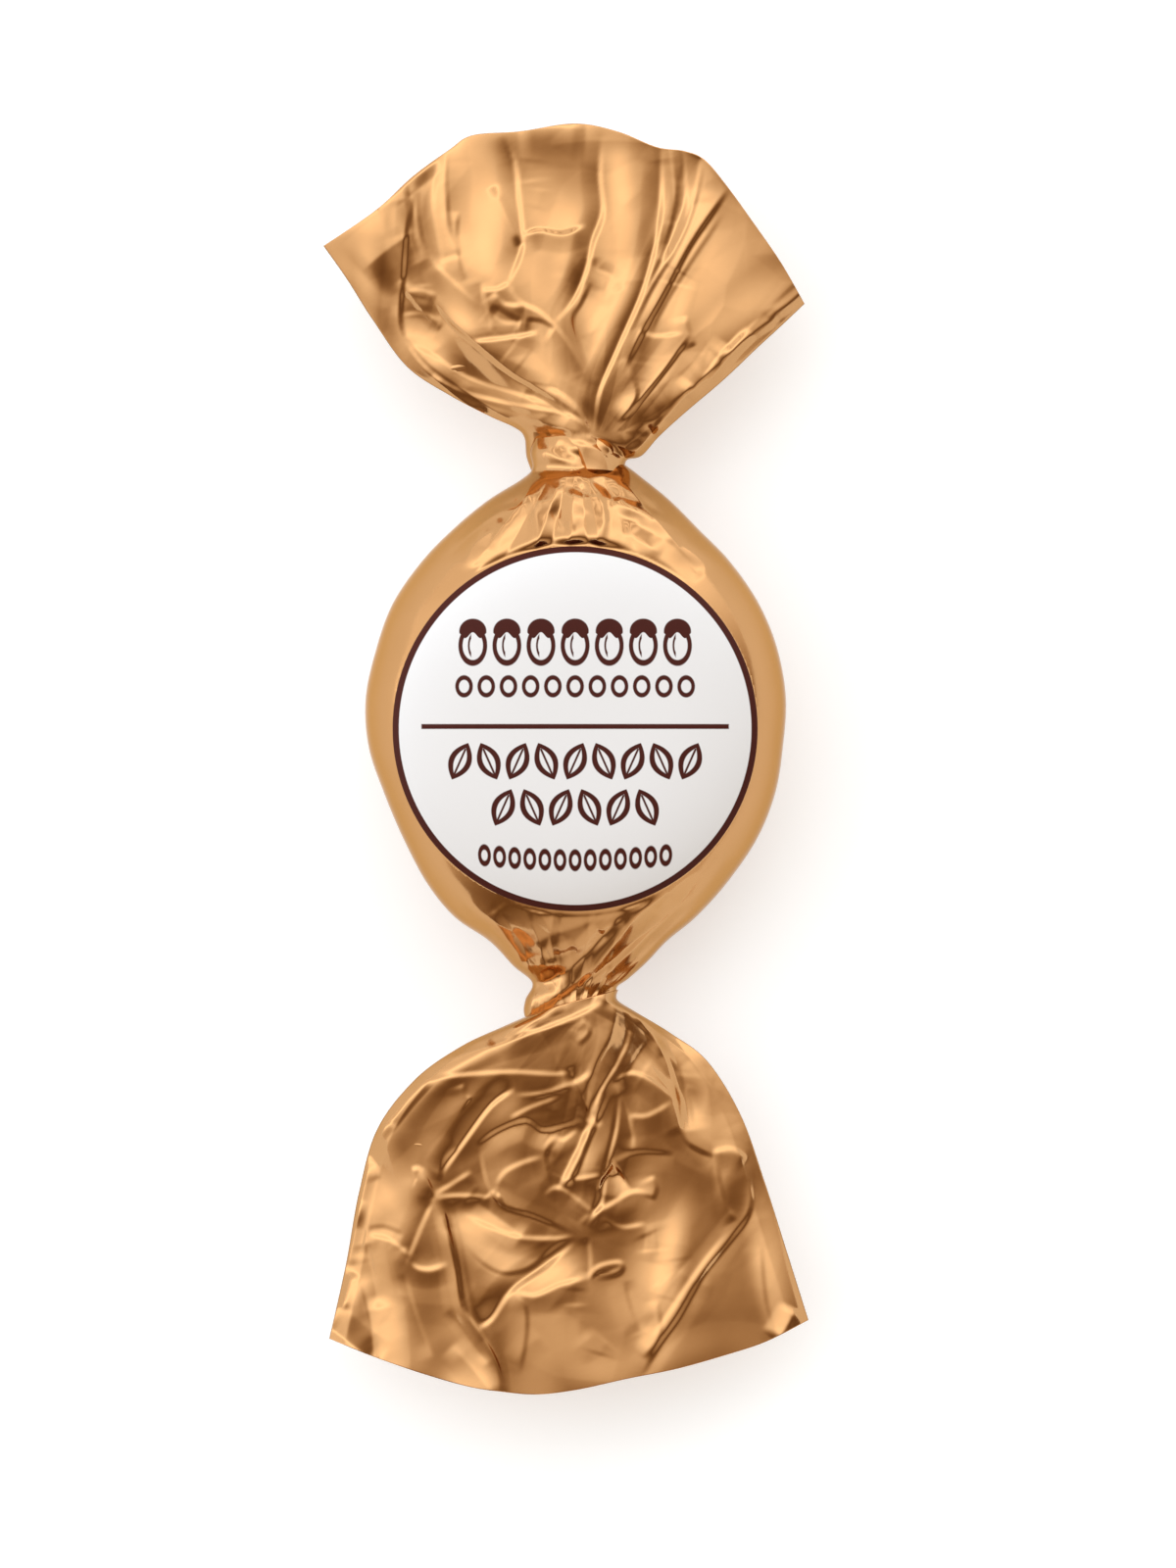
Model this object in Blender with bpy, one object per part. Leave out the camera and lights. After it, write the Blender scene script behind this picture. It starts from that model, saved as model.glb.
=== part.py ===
"""Hazelnut praline in a twisted foil wrapper, lying on its back with its round label up.

+X runs across the praline, +Y along it from one twisted end to the other, and +Z up out of
the label. The origin is the middle of the flat spot on the praline's back.

The wrapper is one foil tube. The praline and the two tight twists fill it, and beyond each
twist it spreads into a flat pleated fan with an open mouth. Every loop of the tube starts at
its left side, runs over the front to the right side, and comes back underneath.
"""

import math
from dataclasses import dataclass

import bmesh
import bpy

MM = 0.001

# The wrapped praline
BODY_RADIUS = 16.0 * MM
MID_HEIGHT = 9.0 * MM
FRONT_RISE = 9.0 * MM
BACK_DROP = 9.7 * MM
BODY_SQUARENESS = 3.5
SHOULDER_SQUARENESS = 2.2
SIDE_LAG = 5.0 * MM

# The label, a domed paper disc in a shallow seat
LABEL_RADIUS = 13.8 * MM
LABEL_THICKNESS = 0.3 * MM
LABEL_GAP = 0.3 * MM
LABEL_PROUD = 0.15 * MM
SHARP_ANGLE = math.radians(48)
LABEL_STEPS = 72
LABEL_RINGS = 6

# The foil
RING_POINTS = 54
HALF_BODY_RINGS = 16
NECK_RINGS = 5
FAN_RINGS = 16
POCKET_RINGS = 8
MOUTH_WALL = 0.45 * MM
DEEP_WALL = 1.6 * MM
POCKET_START = 0.42
POCKET_NARROWING = 0.09
HELIX_FOLDS = 5
FOLD_HEIGHT = 0.5 * MM
FOLD_START = 13.5 * MM
SHOULDER_TURN = 260.0
NECK_TURN = 2.4
NECK_SWELL = 0.3 * MM

FOIL_COLOUR = (0.62, 0.33, 0.14, 1.0)
LABEL_COLOUR = (0.86, 0.86, 0.87, 1.0)


@dataclass
class Loop:
    """One loop of the foil tube. Depths run from the middle height to its front and its back."""

    left: tuple
    middle: tuple
    right: tuple
    front: float
    back: float
    height: float = MID_HEIGHT
    squareness: float = 2.0
    edge_power: float = 0.5
    evenness: float = 0.0
    fill: tuple = (0.0, 0.0)
    fold: float = 0.0
    turn: float = 0.0
    wing_drop: float = 0.0
    front_pleats: tuple = ()
    back_pleats: tuple = ()
    pleat_share: float = 0.0


@dataclass
class Neck:
    """Where the foil is gathered in beside the praline."""

    reach: float
    half_width: float
    half_depth: float
    shift: float
    lean: float
    roundness: float
    handed: int


@dataclass
class Fan:
    """A spread end. Each side is the four control points of a curve from the twist to a corner.

    A pleat is its place from side to side (-1 to 1), its height, and its half width there.
    """

    left_side: tuple
    right_side: tuple
    root: tuple
    mouth: tuple
    mouth_fill: tuple
    front_depths: tuple
    back_depths: tuple
    mouth_drop: float
    wing_drop: float
    front_pleats: tuple
    back_pleats: tuple


def in_mm(*points):
    return tuple((x * MM, y * MM) for x, y in points)


def pleats_in_mm(*pleats):
    return tuple((place, height * MM, width) for place, height, width in pleats)


TOP_NECK = Neck(
    reach=19.5 * MM,
    half_width=3.6 * MM,
    half_depth=3.5 * MM,
    shift=0.4 * MM,
    lean=-0.05 * MM,
    roundness=2.45,
    handed=-1,
)
BOTTOM_NECK = Neck(
    reach=19.3 * MM,
    half_width=3.0 * MM,
    half_depth=3.2 * MM,
    shift=-0.1 * MM,
    lean=0.25 * MM,
    roundness=1.8,
    handed=1,
)

TOP_FAN = Fan(
    left_side=in_mm((-4.0, 22.9), (-10.0, 24.9), (-14.2, 27.8), (-19.0, 36.5)),
    right_side=in_mm((3.2, 20.7), (7.2, 20.0), (10.6, 26.2), (17.3, 32.1)),
    root=(-0.2 * MM, 22.0 * MM),
    mouth=(0.1 * MM, 45.8 * MM),
    mouth_fill=(-1.0 * MM, 6.0 * MM),
    front_depths=(3.7 * MM, 4.4 * MM, 2.2 * MM),
    back_depths=(3.7 * MM, 3.2 * MM, 2.0 * MM),
    mouth_drop=1.2 * MM,
    wing_drop=1.6 * MM,
    front_pleats=pleats_in_mm(
        (-0.80, -0.7, 0.09), (-0.60, 1.1, 0.10), (-0.34, 0.8, 0.09), (-0.18, -0.5, 0.08),
        (0.08, 0.7, 0.10), (0.36, 0.9, 0.10), (0.60, -1.5, 0.08), (0.76, 0.7, 0.09),
    ),
    back_pleats=pleats_in_mm(
        (-0.66, 0.8, 0.10), (-0.36, -0.7, 0.10), (-0.04, 0.9, 0.12), (0.28, -0.6, 0.09),
        (0.58, 0.9, 0.11),
    ),
)
BOTTOM_FAN = Fan(
    left_side=in_mm((-3.6, -21.8), (-13.8, -24.8), (-16.8, -30.8), (-18.6, -46.1)),
    right_side=in_mm((2.8, -20.5), (10.8, -23.2), (13.8, -29.5), (17.7, -44.7)),
    root=(-0.1 * MM, -21.6 * MM),
    mouth=(-1.4 * MM, -50.3 * MM),
    mouth_fill=(-0.6 * MM, -0.6 * MM),
    front_depths=(3.6 * MM, 4.6 * MM, 2.2 * MM),
    back_depths=(3.6 * MM, 3.2 * MM, 2.0 * MM),
    mouth_drop=1.2 * MM,
    wing_drop=1.4 * MM,
    front_pleats=pleats_in_mm(
        (-0.74, 0.7, 0.10), (-0.50, -0.6, 0.09), (-0.28, 0.9, 0.10), (-0.02, -0.6, 0.09),
        (0.20, -1.2, 0.08), (0.36, 0.9, 0.09), (0.66, 1.0, 0.10), (0.84, -0.5, 0.07),
    ),
    back_pleats=pleats_in_mm(
        (-0.60, 0.9, 0.11), (-0.26, -0.7, 0.10), (0.06, 0.8, 0.12), (0.38, -0.6, 0.09),
        (0.66, 0.8, 0.10),
    ),
)


def clear_scene():
    for obj in list(bpy.data.objects):
        bpy.data.objects.remove(obj)


def smooth_step(start, end, value):
    share = min(max((value - start) / (end - start), 0.0), 1.0)
    return share * share * (3.0 - 2.0 * share)


def through_three(first, middle, last, place):
    """The parabola through three values at -1, 0 and 1."""
    before = first * (place * place - place) / 2
    after = last * (place * place + place) / 2
    return before + middle * (1 - place * place) + after


def bezier(points, share):
    rest = 1.0 - share
    weights = (rest**3, 3 * rest * rest * share, 3 * rest * share * share, share**3)
    return tuple(sum(w * p[axis] for w, p in zip(weights, points)) for axis in (0, 1))


def between(first, last, share):
    return tuple(a + (b - a) * share for a, b in zip(first, last))


def dome_height(radius):
    """Height of the praline's front, a flattened dome round the label's middle."""
    share = min(radius / BODY_RADIUS, 1.0)
    return MID_HEIGHT + FRONT_RISE * (1 - share**BODY_SQUARENESS) ** (1 / BODY_SQUARENESS)


def fold_wave(angle):
    """Folds with a sharp crest and a round valley, from -1 to 1."""
    return 1.0 - 2.0 * abs(math.sin(angle / 2))


def pleat_height(pleats, place):
    return sum(height * math.exp(-abs(place - at) / width) for at, height, width in pleats)


def loop_point(loop, index, wall=0.0):
    """Point number index of a loop, moved in by the wall's thickness for the pocket of a fan."""
    turn = 2.0 * index / RING_POINTS
    is_front = turn <= 1.0
    way = turn if is_front else 2.0 - turn
    place = (1 - loop.evenness) * -math.cos(math.pi * way) + loop.evenness * (2 * way - 1)
    if wall:
        place *= 1 - POCKET_NARROWING
    x = through_three(loop.left[0], loop.middle[0], loop.right[0], place)
    y = through_three(loop.left[1], loop.middle[1], loop.right[1], place)
    y += loop.fill[place > 0] * place**2 * (1 - place**2)
    rise = max(1 - abs(place) ** loop.squareness, 0.0) ** loop.edge_power
    depth = (loop.front if is_front else loop.back) * rise
    pleats = loop.front_pleats if is_front else loop.back_pleats
    depth += loop.pleat_share * math.sqrt(rise) * pleat_height(pleats, place)
    depth = max(depth - wall, 0.12 * MM) if wall else max(depth, 0.0)
    if loop.fold:
        angle = math.pi * turn
        wave = 0.75 * fold_wave(HELIX_FOLDS * angle + loop.turn)
        wave += 0.25 * fold_wave(3 * angle + 0.6 * loop.turn + 1.3)
        x += loop.fold * wave * place
        depth = max(depth + loop.fold * wave * rise, 0.0)
    height = loop.height - loop.wing_drop * place * place
    return x, y, height + (depth if is_front else -depth)


def body_loop(neck, share):
    """A loop across the praline, share 0 at its middle and 1 at the twist on the neck's side.

    Its two sides lag behind its middle, so that the loops bend round the label.
    """
    distance = neck.reach * share
    side_distance = distance - SIDE_LAG * 6.75 * share * share * (1 - share)
    y = -distance * neck.handed
    side_y = -side_distance * neck.handed
    side_share = side_distance / neck.reach
    narrowing = 1 - side_share**neck.roundness
    half_width = neck.half_width + (BODY_RADIUS - neck.half_width) * narrowing
    thinning = 1 - share**3.2
    shift = neck.shift * smooth_step(0.4, 1.0, side_share)
    shift += neck.lean * math.sin(math.pi * side_share)
    squareness = BODY_SQUARENESS + (SHOULDER_SQUARENESS - BODY_SQUARENESS) * share**3
    return Loop(
        left=(shift - half_width, side_y),
        middle=(shift, y),
        right=(shift + half_width, side_y),
        front=neck.half_depth + (FRONT_RISE - neck.half_depth) * thinning,
        back=neck.half_depth + (BACK_DROP - neck.half_depth) * thinning,
        squareness=squareness,
        edge_power=1 / squareness,
        fold=FOLD_HEIGHT * smooth_step(FOLD_START, neck.reach, distance),
        turn=neck.handed * SHOULDER_TURN * (distance - neck.reach),
    )


def body_point(loop, index):
    """A point of the praline: domed in front, and cut flat where it rests."""
    x, y, z = loop_point(loop, index)
    if z > MID_HEIGHT:
        z = max(z, dome_height(math.hypot(x, y)))
    return x, y, max(z, 0.0)


def neck_loops(neck, fan):
    """The tight twist between the praline and the fan, where the folds turn fastest."""
    near = body_loop(neck, 1.0)
    far = fan_loop(fan, neck, 0.0)
    loops = []
    for number in range(1, NECK_RINGS):
        share = number / NECK_RINGS
        swell = NECK_SWELL * math.sin(math.pi * share)
        left = between(near.left, far.left, share)
        right = between(near.right, far.right, share)
        loops.append(Loop(
            left=(left[0] - swell, left[1]),
            middle=between(near.middle, far.middle, share),
            right=(right[0] + swell, right[1]),
            front=near.front + (far.front - near.front) * share + swell,
            back=near.back + (far.back - near.back) * share + swell,
            fold=FOLD_HEIGHT,
            turn=neck.handed * NECK_TURN * share,
        ))
    return loops


def fan_loop(fan, neck, share):
    """A loop of a fan, share 0 at the twist and 1 at the open mouth."""
    way = 2 * share - 1
    opening = smooth_step(0.0, 0.25, share)
    return Loop(
        left=bezier(fan.left_side, share),
        middle=between(fan.root, fan.mouth, share),
        right=bezier(fan.right_side, share),
        front=through_three(*fan.front_depths, way),
        back=through_three(*fan.back_depths, way),
        height=MID_HEIGHT - fan.mouth_drop * share * share,
        edge_power=0.5 + 0.1 * opening,
        evenness=0.65 * opening,
        fill=tuple(amount * share**3 for amount in fan.mouth_fill),
        fold=FOLD_HEIGHT * (1 - opening),
        turn=neck.handed * NECK_TURN * (1 + share),
        wing_drop=fan.wing_drop * share,
        front_pleats=fan.front_pleats,
        back_pleats=fan.back_pleats,
        pleat_share=opening * (1 - 0.35 * share),
    )


def fan_outside(fan, neck):
    """The fan's outer loops as points, from the twist to the mouth."""
    shares = [number / FAN_RINGS for number in range(FAN_RINGS + 1)]
    return [loop_points(fan_loop(fan, neck, share)) for share in shares]


def fan_pocket(fan, neck):
    """The hollow between the two layers of foil, from the mouth to its deepest loop."""
    loops = []
    for number in range(POCKET_RINGS):
        share = 1 - (1 - POCKET_START) * number / (POCKET_RINGS - 1)
        wall = DEEP_WALL + (MOUTH_WALL - DEEP_WALL) * smooth_step(POCKET_START, 1.0, share)
        loops.append(loop_points(fan_loop(fan, neck, share), wall))
    return loops


def pocket_end(fan, neck):
    """The point that closes the pocket, just past its deepest loop."""
    loop = fan_loop(fan, neck, POCKET_START - 0.06)
    return (*loop.middle, loop.height)


def loop_points(loop, wall=0.0):
    return [loop_point(loop, index, wall) for index in range(RING_POINTS)]


def tube_mesh(name, loops, first_end, last_end):
    """A closed skin through the loops, drawn together to one point at each end."""
    bm = bmesh.new()
    rows = [[bm.verts.new(point) for point in loop] for loop in loops]
    for near, far in zip(rows, rows[1:]):
        for index in range(RING_POINTS):
            after = (index + 1) % RING_POINTS
            bm.faces.new((near[index], near[after], far[after], far[index]))
    for row, end in ((rows[0], first_end), (rows[-1], last_end)):
        tip = bm.verts.new(end)
        for index in range(RING_POINTS):
            bm.faces.new((row[index], row[(index + 1) % RING_POINTS], tip))
    bmesh.ops.recalc_face_normals(bm, faces=bm.faces)
    bmesh.ops.triangulate(bm, faces=bm.faces)
    mesh = bpy.data.meshes.new(name)
    bm.to_mesh(mesh)
    bm.free()
    return mesh


def domed_disc_mesh(name, radius, bottom, top):
    """A disc that follows the praline's dome, between two offsets from it. None is flat."""
    inner = [radius * ring / LABEL_RINGS for ring in range(LABEL_RINGS + 1)]
    under = [(r, 0.0, dome_height(r) + bottom) for r in inner]
    if top is None:
        over = [(r, 0.0, MID_HEIGHT + FRONT_RISE + 2 * MM) for r in (radius, 0.0)]
    else:
        over = [(r, 0.0, dome_height(r) + top) for r in reversed(inner)]
    bm = bmesh.new()
    corners = [bm.verts.new(point) for point in under + over]
    edges = [bm.edges.new(pair) for pair in zip(corners, corners[1:])]
    bmesh.ops.spin(
        bm,
        geom=corners + edges,
        cent=(0, 0, 0),
        axis=(0, 0, 1),
        angle=math.tau,
        steps=LABEL_STEPS,
        use_merge=True,
    )
    bmesh.ops.remove_doubles(bm, verts=bm.verts, dist=0.002 * MM)
    bmesh.ops.recalc_face_normals(bm, faces=bm.faces)
    mesh = bpy.data.meshes.new(name)
    bm.to_mesh(mesh)
    bm.free()
    return mesh


def material(name, colour, roughness, metallic):
    made = bpy.data.materials.new(name)
    made.use_nodes = True
    shader = made.node_tree.nodes["Principled BSDF"]
    shader.inputs["Base Color"].default_value = colour
    shader.inputs["Roughness"].default_value = roughness
    shader.inputs["Metallic"].default_value = metallic
    return made


def add_object(name, mesh, finish=None):
    if finish:
        mesh.materials.append(finish)
    mesh.shade_smooth()
    mesh.set_sharp_from_angle(angle=SHARP_ANGLE)
    obj = bpy.data.objects.new(name, mesh)
    bpy.context.scene.collection.objects.link(obj)
    return obj


def half_tube(neck, fan, first_ring):
    """The foil from the praline's middle to one fan's mouth, and back in to the pocket's end."""
    shares = [number / HALF_BODY_RINGS for number in range(first_ring, HALF_BODY_RINGS + 1)]
    body = [body_loop(neck, share * (1.2 - 0.2 * share)) for share in shares]
    points = [[body_point(loop, index) for index in range(RING_POINTS)] for loop in body]
    points += [loop_points(loop) for loop in neck_loops(neck, fan)]
    return points + fan_outside(fan, neck) + fan_pocket(fan, neck)


def make_label_seat():
    """The cutter that sinks the label's seat into the foil."""
    bottom = LABEL_PROUD - LABEL_THICKNESS - LABEL_GAP
    mesh = domed_disc_mesh("label_seat", LABEL_RADIUS + LABEL_GAP, bottom, None)
    seat = add_object("label_seat", mesh)
    seat.hide_render = True
    seat.display_type = "WIRE"
    return seat


def make_wrapper(finish):
    loops = list(reversed(half_tube(BOTTOM_NECK, BOTTOM_FAN, 0)))
    loops += half_tube(TOP_NECK, TOP_FAN, 1)
    ends = pocket_end(BOTTOM_FAN, BOTTOM_NECK), pocket_end(TOP_FAN, TOP_NECK)
    mesh = tube_mesh("wrapper", loops, *ends)
    wrapper = add_object("wrapper", mesh, finish)
    cut = wrapper.modifiers.new("label seat", "BOOLEAN")
    cut.operation = "DIFFERENCE"
    cut.solver = "EXACT"
    cut.object = make_label_seat()
    return wrapper


def make_label(finish):
    mesh = domed_disc_mesh("label", LABEL_RADIUS, LABEL_PROUD - LABEL_THICKNESS, LABEL_PROUD)
    return add_object("label", mesh, finish)


def main():
    clear_scene()
    foil = material("copper gold foil", FOIL_COLOUR, roughness=0.32, metallic=1.0)
    paper = material("white label paper", LABEL_COLOUR, roughness=0.55, metallic=0.0)
    make_wrapper(foil)
    make_label(paper)


main()
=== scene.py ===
"""Looks of a hazelnut praline wrapped in twisted copper-gold foil, with a round white label.

The foil is three rolled sheets: one round the praline and its two twists, and one for each
spread end. Each sheet is lofted through stations measured in the photograph, and its creases
are pressed in one by one. All lengths are millimetres until a mesh is made.
"""

import math
from dataclasses import dataclass

import bpy
import numpy as np
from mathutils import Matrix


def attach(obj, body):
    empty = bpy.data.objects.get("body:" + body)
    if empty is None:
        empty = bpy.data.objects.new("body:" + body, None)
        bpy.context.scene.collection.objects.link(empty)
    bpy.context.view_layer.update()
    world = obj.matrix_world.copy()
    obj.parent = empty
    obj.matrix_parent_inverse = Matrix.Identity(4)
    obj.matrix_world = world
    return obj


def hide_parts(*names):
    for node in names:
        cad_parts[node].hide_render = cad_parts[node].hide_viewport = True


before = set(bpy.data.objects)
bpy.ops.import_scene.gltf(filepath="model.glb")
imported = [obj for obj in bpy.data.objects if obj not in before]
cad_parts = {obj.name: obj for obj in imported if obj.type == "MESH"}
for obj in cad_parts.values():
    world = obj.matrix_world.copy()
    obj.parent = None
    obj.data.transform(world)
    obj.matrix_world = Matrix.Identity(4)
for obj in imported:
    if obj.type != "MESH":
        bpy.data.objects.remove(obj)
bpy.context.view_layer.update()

MM = 0.001

# The photograph: one pixel at the praline's mid height, and the label's middle.
PIXEL = 0.07407
LABEL_PIXEL = (587.0, 744.0)
PHOTO_MIDDLE = (600.0, 800.0)
PHOTO_HEIGHT = 1600
CAMERA_HEIGHT = 800.0

# The praline and its label
MID_HEIGHT = 9.0
BODY_RADIUS = 16.0
FRONT_RISE = 9.0
DOME_POWER = 3.5
LABEL_RADIUS = 13.7
LABEL_PROUD = 0.13
LABEL_THICKNESS = 0.3
LABEL_SIDES = 192
LABEL_RINGS = 22
LABEL_RING_STEP = 0.6
LABEL_EDGE = 0.07
SEAT_RIM = (LABEL_RADIUS + 0.1, LABEL_RADIUS + 1.0)
SEAT_DOME = LABEL_RADIUS + 0.3

# The print on the label
RING_WIDTH = 0.5
RULE_HALF = (11.5, 0.185)
PRINT_SOFTNESS = 0.06

# The foil: how it is cut into a grid, and how its open ends are hollowed
BODY_GRID = (300, 300)
END_GRID = (220, 385)
FRONT_SHARE = 0.775
WIDE_LENS = 0.9
FOIL_WALL = 0.1
POCKET_DEPTH = 0.58
LEAST_HALF = 0.35
INSIDE_STEP = 4
INSIDE_SHRINK = 0.006

# The creases: how round their crests are, how their flanks fall, and how their ends run out
FOLD_CREST = 0.08
FLANK_CURVE = 1.4
END_TAPER = 0.25
SHARP_RISE = 1.3
SHARP_FLANKS = (0.32, 1.3)

# The small facets: how they spread round the twist, how long they are, how far they reach
FACET_SPREAD = 14.0
FACET_STRETCH = 0.62
FACET_REACH = 20.0

# How far from the label's middle the shoulders and the twist's band begin
SHOULDER_FROM = (12.0, 14.5)
BAND_FROM = (17.6, 19.2)


def place(px, py):
    """Where a pixel of the photograph lies at the praline's mid height."""
    return ((px - LABEL_PIXEL[0]) * PIXEL, (LABEL_PIXEL[1] - py) * PIXEL)


VIEW_X, VIEW_Y = place(*PHOTO_MIDDLE)


def smooth_step(start, end, value):
    """0 up to the start and 1 from the end on, with a soft rise between."""
    share = np.clip((value - start) / (end - start), 0.0, 1.0)
    return share * share * (3.0 - 2.0 * share)


def curve_through(values, at):
    """A smooth curve through values at 0, 1, 2 and so on, read at the positions given."""
    values = np.asarray(values, float)
    last = len(values) - 1
    index = np.clip(np.floor(at).astype(int), 0, last - 1)
    share = (at - index)[:, None]
    before = values[np.maximum(index - 1, 0)]
    near = values[index]
    far = values[index + 1]
    after = values[np.minimum(index + 2, last)]
    return 0.5 * (
        2 * near
        + (far - before) * share
        + (2 * before - 5 * near + 4 * far - after) * share**2
        + (3 * near - before - 3 * far + after) * share**3
    )


# The creases


@dataclass
class Fold:
    """A crease along a path of photograph pixels.

    The height is of its crest, and negative for a valley. Left and right are how far its two
    flanks reach, seen by someone walking along the path. A short flank makes an overlap.
    """

    path: tuple
    height: float
    left: float
    right: float
    open_start: bool = False
    open_end: bool = False

    def heights(self, x, y):
        raised = np.zeros(x.shape)
        points = [place(*pixel) for pixel in self.path]
        steps = np.linspace(0, len(points) - 1, 5 * (len(points) - 1) + 1)
        line = curve_through(points, steps) if len(points) > 2 else np.array(points)
        reach = max(self.left, self.right)
        low = line.min(axis=0) - reach
        high = line.max(axis=0) + reach
        near = (x > low[0]) & (x < high[0]) & (y > low[1]) & (y < high[1])
        if not near.any():
            return raised
        x, y = x[near], y[near]
        nearest = np.full(x.shape, np.inf)
        side = np.zeros(x.shape)
        along = np.zeros(x.shape)
        count = len(line) - 1
        for number, (start, end) in enumerate(zip(line, line[1:])):
            run = end - start
            share = ((x - start[0]) * run[0] + (y - start[1]) * run[1]) / (run @ run)
            share = np.clip(share, 0.0, 1.0)
            gap_x = x - start[0] - share * run[0]
            gap_y = y - start[1] - share * run[1]
            gap = gap_x**2 + gap_y**2
            closer = gap < nearest
            nearest = np.where(closer, gap, nearest)
            side = np.where(closer, run[0] * gap_y - run[1] * gap_x, side)
            along = np.where(closer, (number + share) / count, along)
        distance = np.sqrt(nearest + FOLD_CREST**2) - FOLD_CREST
        flank = np.where(side > 0, self.left, self.right)
        rise = np.clip(1.0 - distance / flank, 0.0, 1.0) ** FLANK_CURVE
        if not self.open_start:
            rise *= smooth_step(0.0, END_TAPER, along)
        if not self.open_end:
            rise *= smooth_step(0.0, END_TAPER, 1.0 - along)
        raised[near] = self.height * rise
        return raised


@dataclass
class Swell:
    """A soft mound or hollow, with its two radii in pixels and its long axis turned in degrees."""

    middle: tuple
    radii: tuple
    height: float
    turned: float = 0.0

    def heights(self, x, y):
        middle = place(*self.middle)
        turn = math.radians(self.turned)
        across = (x - middle[0]) * math.cos(turn) + (y - middle[1]) * math.sin(turn)
        along = (y - middle[1]) * math.cos(turn) - (x - middle[0]) * math.sin(turn)
        radii = self.radii[0] * PIXEL, self.radii[1] * PIXEL
        share = (across / radii[0]) ** 2 + (along / radii[1]) ** 2
        return self.height * np.clip(1.0 - share, 0.0, 1.0) ** 3


def folds(*rows, **ends):
    """Creases, each row with its height, the reach of its flanks, and then its path."""
    return tuple(Fold(path, height, left, right, **ends) for height, left, right, *path in rows)


def swells(*rows):
    """Mounds, each row with its middle, its radii, its height and perhaps its turn."""
    return tuple(Swell(row[:2], row[2:4], *row[4:]) for row in rows)


def sharp(*rows):
    """Narrow creases, each row with its height and then its path."""
    return tuple(Fold(path, SHARP_RISE * height, *SHARP_FLANKS) for height, *path in rows)


def small_folds(seed, count, low, high, focus, heights, lengths):
    """Loose small creases inside a box of pixels. Most run toward the focus, as gathers do."""
    random = np.random.default_rng(seed)
    made = []
    for _ in range(count):
        start = random.uniform(low, high)
        toward = math.atan2(focus[1] - start[1], focus[0] - start[0])
        turn = toward + random.normal(0.0, 0.75)
        length = random.uniform(*lengths)
        bend = random.normal(0.0, 0.16) * length
        step = np.array([math.cos(turn), math.sin(turn)]) * length / 2
        middle = start + step + np.array([-step[1], step[0]]) / length * bend * 2
        height = random.uniform(*heights) * random.choice((-1.0, 1.0))
        flanks = random.uniform(0.7, 2.6, 2)
        made.append(Fold((start, middle, start + 2 * step), height, *flanks))
    return made


def soft_waves(x, y, seed, length, height):
    """A gentle unevenness made of a few long waves."""
    random = np.random.default_rng(seed)
    total = np.zeros(x.shape)
    for _ in range(7):
        turn = random.uniform(0.0, math.tau)
        pace = math.tau / (length * random.uniform(0.6, 1.6))
        phase = random.uniform(0.0, math.tau)
        total += np.sin((x * math.cos(turn) + y * math.sin(turn)) * pace + phase)
    return height * total / 3.0


def crumpled(x, y, seed, focus, spacing, steepness):
    """Small flat facets between crisp creases, drawn out toward the twist at the focus."""
    random = np.random.default_rng(seed)
    twist = place(*focus)
    angle = np.arctan2(x - twist[0], np.abs(y - twist[1]) + 2.0)
    across = FACET_SPREAD * angle
    along = FACET_STRETCH * np.hypot(x - twist[0], y - twist[1])
    seeds = np.mgrid[-FACET_REACH:FACET_REACH:spacing, -2.0:FACET_REACH:spacing]
    seeds = seeds.reshape(2, -1).T
    seeds = seeds + random.uniform(-0.45, 0.45, seeds.shape) * spacing
    slopes = random.uniform(-1.0, 1.0, len(seeds)) * steepness
    spot = np.stack([across.ravel(), along.ravel()], axis=1)
    gaps = ((spot[:, None, :] - seeds[None]) ** 2).sum(axis=2)
    cell = gaps.argmin(axis=1)
    own = gaps[np.arange(len(spot)), cell]
    apart = np.hypot(*(seeds[cell][:, None, :] - seeds[None]).transpose(2, 0, 1))
    inward = (gaps - own[:, None]) / (2.0 * np.maximum(apart, 1e-6))
    inward[np.arange(len(spot)), cell] = np.inf
    return (slopes[cell] * inward.min(axis=1)).reshape(x.shape)


def pleats(x, y, seed, focus, width, steepness):
    """Straight pleats with flat flanks, which fan out from the twist at the focus."""
    random = np.random.default_rng(seed)
    twist = place(*focus)
    away = np.hypot(x - twist[0], y - twist[1])
    angle = np.arctan2(x - twist[0], np.abs(y - twist[1]))
    knots = -math.pi + np.cumsum(random.uniform(0.5, 1.5, int(math.tau / width) + 6)) * width
    crests = random.uniform(0.4, 1.0, len(knots)) * np.resize((1.0, -1.0), len(knots))
    return steepness * width / 2 * away * np.interp(angle, knots, crests)


def pressed(creases, x, y):
    """The sum of all the creases at the places given."""
    total = np.zeros(x.shape)
    for crease in creases:
        total += crease.heights(x, y)
    return total


# The sheets


@dataclass
class Station:
    """One loop of a rolled sheet: its left, middle and right pixels, and its depths."""

    left: tuple
    middle: tuple
    right: tuple
    front: float
    back: float
    height: float = MID_HEIGHT
    power: float = 2.2
    lens: float = 0.455
    droop: float = 0.0

    def numbers(self):
        ends = (*place(*self.left), *place(*self.middle), *place(*self.right))
        return (*ends, self.front, self.back, self.height, self.power, self.lens, self.droop)


def wide_station(left, middle, right, front, back, height, droop):
    """A loop of a spread end, which is flatter than the twist and droops at its sides."""
    return Station(left, middle, right, front, back, height, lens=WIDE_LENS, droop=droop)


def dome_height(radius):
    """How high the praline's domed front is, this far from the label's middle."""
    share = np.minimum(radius / BODY_RADIUS, 1.0)
    return MID_HEIGHT + FRONT_RISE * (1 - share**DOME_POWER) ** (1 / DOME_POWER)


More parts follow.
